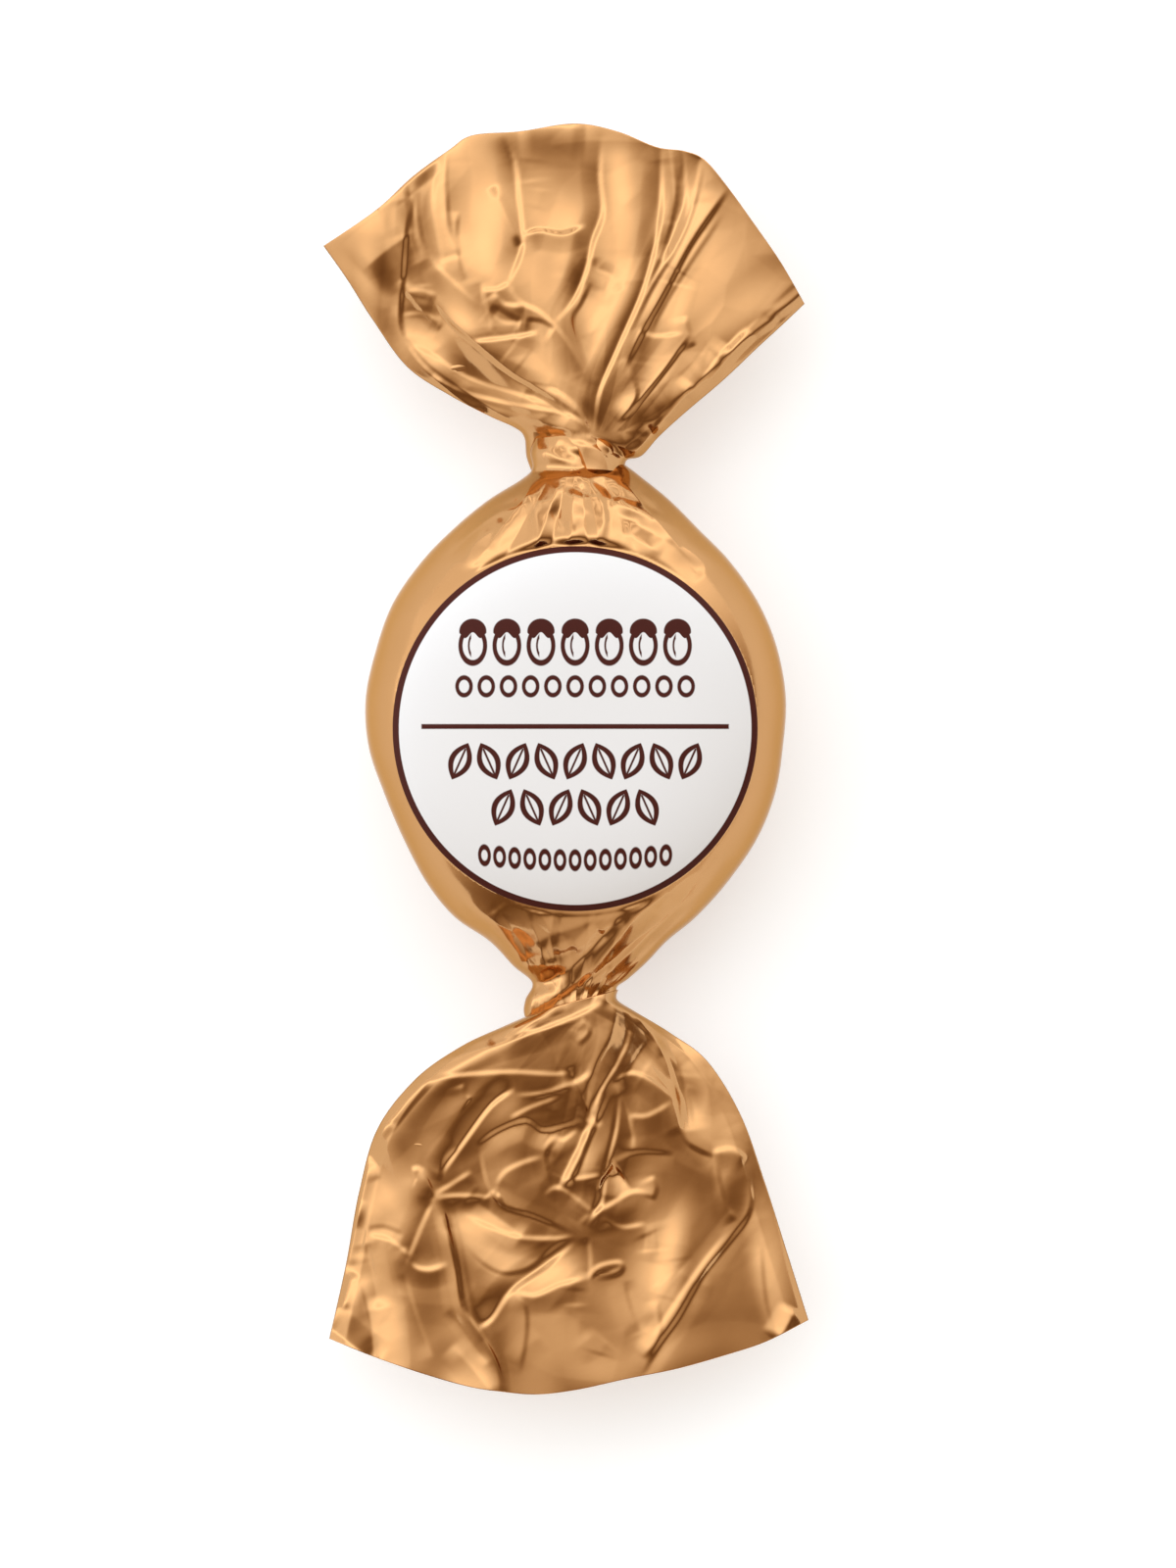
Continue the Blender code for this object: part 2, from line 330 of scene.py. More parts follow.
def as_seen(points):
    """Moves each point along its line of sight, so that it shows at its own pixel."""
    seen = points.copy()
    spread = (CAMERA_HEIGHT - points[..., 2]) / (CAMERA_HEIGHT - MID_HEIGHT)
    seen[..., 0] = VIEW_X + (points[..., 0] - VIEW_X) * spread
    seen[..., 1] = VIEW_Y + (points[..., 1] - VIEW_Y) * spread
    return seen


def loft(stations, rows, columns, evenness, mouth=None):
    """The plan and the smooth heights of a sheet: rows run along the praline, columns round it."""
    middles = np.array([place(*station.middle) for station in stations])
    travelled = np.concatenate([[0.0], np.cumsum(np.hypot(*np.diff(middles, axis=0).T))])
    at = np.interp(np.linspace(0, travelled[-1], rows), travelled, np.arange(len(stations)))
    values = curve_through([station.numbers() for station in stations], at)
    left_x, left_y, middle_x, middle_y, right_x, right_y = values[:, :6].T[..., None]
    front, back, height, power, lens, droop = values[:, 6:].T[..., None]
    seen = int(columns * FRONT_SHARE)
    is_front = np.arange(columns) <= seen
    way = np.concatenate([np.linspace(0, 1, seen + 1), np.linspace(1, 0, columns - seen)[1:]])
    side = (1 - evenness) * -np.cos(np.pi * way) + evenness * (2 * way - 1)
    side = np.broadcast_to(side, (rows, columns))
    before, after = (side * side - side) / 2, (side * side + side) / 2
    x = left_x * before + middle_x * (1 - side * side) + right_x * after
    y = left_y * before + middle_y * (1 - side * side) + right_y * after
    if mouth:
        edge = curve_through([place(*p) for p in mouth], (side[-1] + 1) / 2 * (len(mouth) - 1))
        share = np.linspace(0, 1, rows)[:, None] ** 4
        x = x + share * (edge[:, 0] - x[-1])
        y = y + share * (edge[:, 1] - y[-1])
    rise = np.clip(1 - np.abs(side) ** power, 0.0, 1.0) ** lens
    base = height - droop * side * side
    return x, y, side, is_front, base, rise, front, back


def rolled_sheet(name, points):
    """A flat grid of foil, rolled into a tube through the points and closed at seam and ends."""
    rows, columns = points.shape[:2]
    bpy.ops.object.select_all(action="DESELECT")
    bpy.ops.mesh.primitive_grid_add(
        x_subdivisions=columns - 1, y_subdivisions=rows - 1, size=0.04
    )
    sheet = bpy.context.object
    sheet.name = name
    sheet.data.vertices.foreach_set("co", (points * MM).astype(np.float32).ravel())
    bpy.ops.object.mode_set(mode="EDIT")
    bpy.ops.mesh.select_all(action="SELECT")
    bpy.ops.mesh.remove_doubles(threshold=1e-7)
    bpy.ops.mesh.normals_make_consistent(inside=False)
    bpy.ops.object.mode_set(mode="OBJECT")
    bpy.ops.object.shade_smooth()
    return sheet


def closed(*grids):
    """Grids of points one after another, with the first and last row drawn to a point."""
    points = np.concatenate(grids)
    start, end = (np.broadcast_to(row.mean(axis=0), (1, *row.shape)) for row in points[[0, -1]])
    return np.concatenate([start, points, end])


# The praline's foil

BODY_STATIONS = (
    Station((545, 1052), (585, 1045), (618, 1036), 2.5, 2.5),
    Station((535, 1036), (585, 1026), (629, 1016), 3.2, 3.2),
    Station((536, 1020), (587, 1014), (630, 1007), 3.3, 3.3),
    Station((543, 1003), (590, 1002), (641, 999), 3.5, 3.5, power=2.3),
    Station((524, 986), (591, 985), (660, 982), 4.3, 4.2, power=2.4),
    Station((500, 961), (590, 961), (681, 960), 5.6, 5.3, power=2.5),
    Station((464, 936), (588, 936), (710, 936), 6.8, 6.6, power=2.6),
    Station((436, 902), (588, 902), (741, 902), 7.8, 7.9, power=2.8),
    Station((412, 857), (590, 857), (772, 857), 8.5, 8.9, power=3.1),
    Station((392, 810), (588, 810), (791, 810), 8.9, 9.5, power=3.4),
    Station((376, 762), (587, 762), (799, 762), 9.0, 9.7, power=3.5),
    Station((373, 712), (587, 712), (802, 712), 9.0, 9.7, power=3.5),
    Station((384, 661), (587, 661), (793, 661), 8.7, 9.2, power=3.3),
    Station((401, 615), (588, 615), (774, 615), 8.2, 8.5, power=3.1),
    Station((430, 573), (589, 573), (745, 573), 7.6, 7.4, power=2.8),
    Station((462, 540), (590, 540), (714, 541), 6.8, 6.4, power=2.6),
    Station((497, 511), (590, 512), (683, 510), 5.7, 5.2, power=2.4),
    Station((532, 489), (590, 490), (651, 484), 4.6, 4.2, power=2.3),
    Station((543, 478), (589, 474), (634, 470), 3.6, 3.5),
    Station((541, 462), (587, 458), (631, 454), 3.4, 3.3),
    Station((545, 446), (587, 443), (625, 440), 2.6, 2.6),
)

SHOULDER_FOLDS = folds(
    # The band of foil round the upper twist
    (0.3, 0.5, 1.0, (547, 443), (589, 442), (614, 451), (642, 477)),
    (-0.22, 0.5, 0.9, (567, 451), (583, 462), (611, 472)),
    (0.22, 0.4, 0.8, (586, 447), (605, 459), (630, 473)),
    (0.16, 0.5, 0.7, (550, 456), (570, 468), (596, 476)),
    (-0.45, 0.9, 0.5, (537, 482), (561, 481), (605, 479), (640, 482)),
    (0.2, 0.8, 0.8, (541, 450), (545, 466), (541, 478)),
) + folds(
    # The top shoulder, below the band of foil
    (0.30, 3.2, 0.5, (545, 484), (538, 504), (533, 516), (508, 525), (484, 541), (462, 560)),
    (-0.17, 0.6, 0.9, (533, 518), (505, 530), (478, 549), (450, 576)),
    (0.18, 1.4, 0.6, (540, 500), (547, 530), (546, 556)),
    (-0.12, 0.7, 1.0, (520, 524), (505, 540), (498, 562)),
    (0.23, 0.8, 1.4, (548, 485), (570, 500), (590, 514), (616, 531)),
    (0.23, 0.5, 1.4, (573, 500), (595, 508), (612, 512), (616, 532), (612, 556)),
    (0.15, 0.8, 1.2, (572, 506), (560, 512), (545, 514)),
    (0.18, 1.2, 0.7, (556, 486), (580, 480), (594, 488), (592, 498)),
    (-0.17, 0.8, 0.8, (560, 520), (575, 536), (580, 556)),
    (0.25, 1.8, 0.8, (596, 484), (608, 498), (628, 512), (665, 528), (708, 545)),
    (-0.14, 0.6, 0.6, (600, 486), (620, 500), (650, 512), (690, 530)),
    (-0.19, 1.0, 1.0, (612, 484), (622, 500), (630, 513)),
    (0.18, 1.2, 0.8, (636, 484), (633, 505), (640, 515), (668, 522)),
    (-0.15, 1.0, 1.0, (648, 500), (660, 514), (672, 522)),
    (0.17, 1.0, 0.6, (643, 530), (644, 545), (660, 556), (676, 566)),
    (-0.14, 0.8, 1.0, (625, 520), (655, 538), (690, 560), (718, 590)),
    (-0.14, 1.2, 1.6, (690, 545), (700, 568), (718, 590)),
    (0.11, 1.2, 0.9, (470, 545), (480, 560), (486, 580)),
    (0.12, 0.8, 0.8, (494, 534), (484, 556), (470, 584)),
    (0.11, 1.4, 1.4, (440, 570), (420, 600), (407, 640)),
    (-0.09, 0.8, 0.8, (428, 590), (408, 630), (393, 680)),
    (-0.11, 1.4, 1.6, (752, 590), (772, 620), (785, 660)),
    (0.11, 0.9, 0.9, (735, 565), (762, 600), (782, 640)),
    (0.07, 0.7, 0.7, (385, 690), (379, 730), (380, 770)),
    (0.07, 0.7, 0.7, (792, 700), (797, 740), (792, 780)),
) + folds(
    (0.28, 3.0, 0.5, (637, 474), (662, 484), (690, 512), (718, 545)),
    open_start=True,
) + swells(
    (585, 545, 48, 24, 0.3),
) + folds(
    # The bottom shoulder, above the lower end
    (-0.55, 1.8, 1.3, (716, 890), (690, 925), (650, 958), (600, 1000), (556, 1030)),
    (0.35, 1.0, 1.5, (690, 905), (655, 930), (632, 958), (604, 988), (560, 1022)),
    open_end=True,
) + folds(
    (0.22, 0.6, 0.6, (702, 915), (672, 945), (640, 975), (600, 1012)),
    (-0.2, 0.8, 0.8, (685, 912), (676, 922), (668, 932)),
    (-0.42, 1.3, 1.2, (640, 926), (615, 955), (585, 985), (548, 1016)),
    (-0.25, 1.6, 1.5, (625, 930), (590, 945), (560, 955), (535, 972)),
    (0.2, 0.7, 0.7, (638, 940), (620, 945), (612, 952)),
    (-0.25, 0.8, 0.8, (590, 968), (570, 975), (556, 980)),
    (0.25, 0.7, 1.0, (532, 985), (550, 986), (572, 982)),
    (-0.28, 0.8, 0.8, (575, 988), (560, 1000), (545, 1008)),
    (0.3, 2.0, 1.3, (720, 935), (690, 965), (650, 1002)),
    (-0.25, 1.0, 1.1, (700, 925), (668, 955), (640, 985), (610, 1005)),
    (0.22, 0.8, 0.8, (625, 985), (608, 998), (596, 1010)),
    (-0.3, 1.3, 1.1, (455, 930), (492, 954), (512, 984)),
    (0.22, 1.0, 0.8, (497, 950), (520, 962), (535, 984)),
    (0.16, 0.9, 0.9, (470, 920), (500, 940), (530, 952)),
    (-0.14, 0.9, 0.9, (430, 885), (455, 915), (485, 940)),
    (0.16, 0.9, 0.9, (745, 870), (725, 900), (700, 925)),
) + swells(
    (538, 1022, 14, 19, 0.35),
)


def label_shade(x, y):
    """1 under the label and 0 away from it, so that the creases stop at its edge."""
    return 1.0 - smooth_step(LABEL_RADIUS - 0.1, LABEL_RADIUS + 0.9, np.hypot(x, y))


def seated(top, x, y):
    """The foil's front, pressed down to the praline's dome under the label."""
    flat = np.hypot(x, y)
    dome = dome_height(np.minimum(flat, SEAT_DOME))
    top = np.where(flat < LABEL_RADIUS, np.maximum(top, dome), top)
    return top + (np.minimum(top, dome) - top) * (1.0 - smooth_step(*SEAT_RIM, flat))


def shoulder_relief(creases, x, y):
    """The creases of both shoulders, with straight pleats above and facets below."""
    above = smooth_step(*SHOULDER_FROM, y) * (1 - smooth_step(*BAND_FROM, y))
    above = above * pleats(x, y, seed=31, focus=(590, 436), width=0.19, steepness=0.5)
    below = smooth_step(*SHOULDER_FROM, -y)
    below = below * crumpled(x, y, seed=32, focus=(585, 1030), spacing=2.6, steepness=0.22)
    waves = soft_waves(x, y, seed=3, length=7.0, height=0.03)
    return pressed(creases, x, y) + waves + above + below


def underside_relief(creases, side, rise, x, y):
    """The back's gathers, and the front's creases again the other way round."""
    angle = np.arctan2(side, rise)
    ripple = np.abs(np.sin(4.0 * angle + 0.55 * y))
    ripple = ripple + 0.5 * np.abs(np.sin(7.5 * angle - 0.4 * y))
    mirrored = pressed(creases, -x, y) + soft_waves(x, y, seed=9, length=6.0, height=0.08)
    return (0.55 * ripple + 0.8 * mirrored) * smooth_step(9.0, 19.0, np.abs(y))


def make_praline_foil():
    """The foil round the praline, with a twist at each end and a seat under the label."""
    x, y, side, is_front, base, rise, front, back = loft(
        BODY_STATIONS, *BODY_GRID, evenness=0.25
    )
    edge = smooth_step(0.0, 0.16, 1 - np.abs(side))
    creases = SHOULDER_FOLDS + tuple(
        small_folds(
            seed=5, count=26, low=(460, 484), high=(720, 566), focus=(590, 440),
            heights=(0.02, 0.05), lengths=(20, 60),
        )
        + small_folds(
            seed=6, count=26, low=(470, 925), high=(730, 1010), focus=(585, 1040),
            heights=(0.02, 0.08), lengths=(20, 60),
        )
    )
    top = seated(base + front * rise, x, y)
    top = top + shoulder_relief(creases, x, y) * edge * (1 - label_shade(x, y))
    under = base - back * rise + underside_relief(creases, side, rise, x, y) * edge
    z = np.where(is_front, top, np.maximum(under, 0.0))
    points = np.stack(np.broadcast_arrays(x, y, z), axis=-1)
    return rolled_sheet("praline_foil", closed(as_seen(points)))


# The top end

TOP_STATIONS = (
    Station((543, 483), (590, 479), (638, 482), 4.35, 4.2, lens=0.45),
    Station((537, 466), (589, 463), (638, 474), 4.3, 4.1, lens=0.45),
    Station((535, 447), (589, 444), (641, 469), 4.1, 4.0, lens=0.46),
    Station((526, 437), (590, 428), (655, 465), 4.1, 3.9, power=2.1, lens=0.6),
    wide_station((498, 424), (590, 400), (672, 446), 4.3, 3.8, MID_HEIGHT, 0.4),
    wide_station((458, 403), (590, 355), (697, 423), 4.5, 3.5, MID_HEIGHT, 0.8),
    wide_station((415, 374), (588, 300), (738, 388), 4.4, 3.2, 8.8, 1.1),
    wide_station((380, 326), (585, 240), (774, 354), 3.9, 2.8, 8.4, 1.4),
    wide_station((354, 285), (583, 180), (800, 330), 3.2, 2.4, 8.1, 1.5),
    wide_station((330, 251), (582, 127), (821, 310), 2.7, 2.0, 7.9, 1.6),
)
TOP_MOUTH = (
    (330, 251), (384, 214), (421, 180), (458, 153), (482, 138), (530, 134), (586, 126),
    (630, 134), (670, 150), (698, 154), (719, 163), (742, 190), (768, 226), (797, 268), (821, 310),
)

TOP_FOLDS = folds(
    (0.24, 2.8, 3.1, (527, 133), (562, 130), (599, 131)),
    (0.18, 0.6, 0.8, (394, 206), (421, 183), (450, 161)),
    (-0.17, 0.9, 0.9, (420, 194), (416, 238), (428, 269)),
    (0.26, 3.4, 3.4, (382, 211), (400, 206), (420, 202)),
    (0.23, 0.6, 0.6, (532, 251), (517, 221), (502, 189)),
    (-0.11, 1, 0.9, (604, 262), (606, 276), (622, 284), (629, 299)),
    (-0.08, 1.7, 0.7, (736, 213), (702, 259), (682, 300), (658, 344)),
    (0.28, 2.5, 2.9, (368, 278), (395, 255), (424, 235)),
    (-0.11, 0.9, 1.5, (407, 324), (430, 324), (449, 330)),
    (-0.04, 0.9, 1, (450, 270), (458, 264), (468, 263)),
    (0.07, 1.2, 1, (489, 289), (495, 314), (498, 338)),
    (-0.07, 1, 0.9, (497, 319), (510, 330), (531, 333)),
    (-0.11, 2.2, 0.9, (602, 282), (590, 305), (585, 326), (592, 356), (604, 392)),
    (0.18, 0.6, 0.6, (782, 326), (810, 305), (836, 280)),
    (-0.19, 2.2, 1.6, (413, 352), (441, 364), (478, 388), (530, 404), (585, 427)),
    (0.23, 0.6, 0.6, (450, 337), (428, 311), (408, 284)),
    (-0.11, 0.9, 3.1, (476, 349), (515, 345), (555, 341)),
    (0.07, 1.4, 1, (636, 364), (648, 397), (645, 414), (629, 430)),
    (-0.05, 1.4, 1.5, (652, 339), (669, 345), (700, 343)),
    (-0.11, 3.1, 1.8, (703, 339), (682, 370), (654, 403), (634, 431)),
    (0.18, 0.6, 0.6, (740, 366), (766, 342), (794, 321)),
    (-0.08, 0.9, 1.3, (470, 402), (519, 419), (574, 425), (601, 440)),
    (0.22, 0.6, 0.6, (494, 426), (466, 405), (439, 383)),
    (-0.06, 1.1, 0.9, (556, 395), (583, 411), (604, 444)),
    (0.2, 3.2, 3.2, (663, 441), (690, 418), (719, 396)),
    (0.34, 1.4, 1.3, (664, 444), (686, 418), (707, 390)),
    (0.17, 3.1, 3.2, (673, 424), (700, 402), (728, 381)),
    (0.2, 3.1, 2.8, (681, 412), (709, 392), (736, 368)),
    (0.26, 1.3, 1.4, (699, 405), (723, 380), (744, 350)),
    (0.22, 0.6, 0.6, (722, 391), (743, 363), (768, 337)),
    (-0.24, 0.6, 0.6, (530, 481), (565, 482), (600, 479)),
    (-0.56, 3.2, 3.2, (530, 488), (564, 481), (598, 473)),
    (-0.35, 3.2, 3.5, (539, 479), (554, 467), (571, 454)),
    (-0.27, 3.1, 3.3, (541, 499), (548, 465), (557, 430)),
    (-0.36, 2.8, 3.5, (562, 502), (549, 470), (530, 439)),
    (-0.22, 1.3, 1.5, (571, 500), (562, 467), (556, 433)),
    (-0.35, 3.2, 3.2, (572, 510), (551, 483), (529, 455)),
    (0.23, 0.6, 0.6, (627, 475), (656, 454), (682, 430)),
    (0.22, 3.2, 3.2, (635, 450), (669, 442), (703, 435)),
) + folds(
    (-0.06, 1.6, 1.4, (613, 141), (611, 180), (612, 216), (602, 246), (597, 276), (584, 306),
     (562, 330)),
    (-0.15, 1.5, 2.4, (674, 150), (672, 190), (669, 226), (664, 266), (653, 307), (632, 358),
     (610, 405), (605, 446)),
    (0.19, 1.8, 1.4, (453, 154), (457, 190), (455, 231), (466, 263), (473, 287)),
    (-0.13, 1, 1.1, (682, 150), (686, 191), (687, 226), (671, 262), (655, 300)),
    (-0.17, 1.1, 1.1, (696, 152), (700, 199), (687, 235), (674, 267)),
    (-0.18, 2.1, 1.3, (714, 163), (704, 211), (688, 248), (663, 291), (637, 351)),
    open_start=True,
)
TOP_SWELLS = swells(
    (589, 125, 170, 40, 0.19, 2),
    (419, 176, 110, 170, 1.49, -36),
    (490, 177, 97, 61, -0.13, 14),
    (556, 143, 134, 66, 0.61, -53),
    (686, 173, 57, 131, -0.34, -20),
    (569, 194, 105, 67, -0.72, -51),
    (632, 182, 55, 86, -0.11, 6),
    (718, 198, 62, 103, -0.07, -8),
    (377, 235, 119, 170, 0.78, -37),
    (456, 235, 41, 158, 0.13, -17),
    (500, 244, 48, 170, 0.34, -4),
    (651, 224, 31, 88, 0.5, 15),
    (684, 253, 38, 83, 0.23, -32),
    (746, 250, 91, 130, -0.18, -39),
    (348, 265, 54, 51, -0.1),
    (389, 287, 122, 55, 0.18, 13),
    (425, 295, 134, 40, -0.29, -29),
    (473, 276, 30, 104, 0.33, 8),
    (573, 276, 37, 170, -0.67, 26),
    (607, 299, 170, 170, -1.06),
    (386, 326, 27, 111, 0.3, 5),
    (435, 333, 58, 29, -0.13, 16),
    (481, 320, 78, 49, -0.24, -8),
    (746, 328, 170, 170, 0.98),
    (781, 303, 124, 170, 0.76, -5),
    (430, 354, 78, 53, -0.24, -2),
    (457, 356, 32, 152, -0.9, 45),
    (522, 368, 72, 161, -0.32, -37),
    (610, 343, 50, 168, -0.94, -3),
    (672, 351, 57, 119, -0.27, -34),
    (712, 375, 170, 127, 0.66, 16),
    (755, 374, 170, 69, 1.22, 47),
    (478, 396, 82, 40, -0.16, 17),
    (529, 414, 142, 43, -0.6, -38),
    (576, 383, 71, 90, -0.53, 33),
    (639, 395, 45, 170, -0.92, -21),
    (664, 399, 128, 83, -0.15, 54),
    (646, 439, 77, 54, 0.09, 29),
    (564, 473, 132, 80, -1.19, 10),
    (605, 466, 82, 28, 0.93, -60),
)
TOP_LINES = sharp(
    (0.15, (424, 178), (413, 235), (409, 290), (407, 330), (420, 362), (452, 392), (500, 412)),
    (-0.15, (426, 275), (450, 322), (482, 352), (520, 384), (562, 408), (596, 432)),
    (0.06, (410, 300), (428, 298), (446, 304)),
    (0.07, (408, 324), (430, 322), (448, 330)),
    (0.09, (414, 352), (440, 364), (478, 388), (530, 405), (585, 424)),
    (0.08, (470, 402), (520, 414), (575, 424), (602, 440)),
    (-0.09, (535, 398), (560, 412), (582, 428)),
    (0.08, (556, 396), (582, 412), (604, 444)),
    (0.06, (420, 196), (418, 238), (428, 268)),
    (0.08, (425, 180), (425, 226), (436, 262), (460, 288), (490, 316)),
    (-0.08, (447, 160), (440, 205), (447, 250), (453, 276)),
    (0.09, (454, 155), (453, 190), (457, 232), (466, 262), (474, 288)),
    (0.06, (466, 215), (464, 240), (468, 262)),
    (0.06, (450, 270), (459, 266), (468, 263)),
    (-0.15, (512, 138), (523, 165), (527, 202), (531, 242), (527, 264), (514, 294)),
    (0.13, (534, 242), (550, 237), (575, 240), (600, 231)),
    (-0.15, (612, 142), (610, 180), (613, 216), (603, 246), (596, 276), (583, 306), (562, 330)),
    (0.06, (604, 261), (606, 276), (622, 284), (629, 298)),
    (0.09, (602, 284), (592, 306), (582, 326), (590, 356), (604, 392)),
    (0.07, (490, 298), (508, 297), (521, 290)),
    (0.08, (503, 299), (514, 312), (536, 314)),
    (0.09, (519, 292), (530, 310), (552, 322), (576, 348), (600, 392)),
    (0.06, (497, 318), (510, 330), (530, 333)),
    (-0.08, (500, 312), (520, 324), (532, 330)),
    (0.1, (476, 351), (515, 347), (553, 341)),
    (-0.07, (488, 288), (494, 314), (500, 338)),
    (-0.07, (536, 328), (552, 330), (566, 338)),
    (-0.15, (673, 150), (673, 190), (671, 226), (663, 266), (650, 306), (628, 356), (608, 404),
     (605, 446)),
    (0.09, (683, 150), (689, 190), (684, 226), (672, 262), (654, 300)),
    (-0.08, (694, 152), (697, 200), (689, 236), (673, 266)),
    (0.1, (716, 164), (706, 212), (690, 250), (664, 292), (636, 350)),
    (0.15, (743, 190), (727, 213), (703, 249), (680, 292), (655, 337), (632, 384)),
    (0.06, (738, 214), (706, 262), (682, 300), (658, 344)),
    (0.13, (704, 338), (682, 370), (655, 404), (634, 430)),
    (0.06, (698, 322), (702, 340), (708, 354)),
    (0.09, (636, 364), (648, 397), (643, 414), (629, 431)),
    (0.06, (650, 338), (668, 345), (700, 342)),
    (-0.09, (528, 428), (548, 441), (578, 442), (604, 447)),
    (0.09, (545, 444), (580, 452), (620, 462), (652, 482)),
    (0.06, (560, 449), (576, 462), (596, 476)),
    (0.07, (572, 440), (606, 449), (640, 468)),
    (-0.06, (600, 446), (626, 456), (642, 466)),
)


# The bottom end

BOTTOM_STATIONS = (
    Station((545, 1034), (588, 1021), (631, 1010), 3.75, 3.7, lens=0.45),
    Station((537, 1037), (586, 1031), (630, 1020), 4.0, 3.9, lens=0.46),
    Station((512, 1048), (584, 1044), (648, 1032), 4.2, 3.9, power=2.1, lens=0.6),
    wide_station((470, 1068), (580, 1072), (684, 1054), 4.5, 3.8, MID_HEIGHT, 0.4),
    wide_station((424, 1101), (576, 1125), (722, 1083), 4.7, 3.5, MID_HEIGHT, 0.8),
    wide_station((385, 1152), (572, 1190), (756, 1138), 4.6, 3.2, 8.8, 1.1),
    wide_station((366, 1218), (568, 1262), (780, 1205), 4.1, 2.8, 8.5, 1.3),
    wide_station((353, 1290), (562, 1340), (802, 1274), 3.4, 2.4, 8.2, 1.4),
    wide_station((336, 1366), (555, 1422), (825, 1347), 2.9, 2.0, 8.0, 1.5),
)
BOTTOM_MOUTH = (
    (336, 1366), (380, 1384), (432, 1402), (478, 1415), (510, 1420), (548, 1423), (590, 1418),
    (640, 1407), (690, 1397), (740, 1383), (782, 1369), (825, 1347),
)

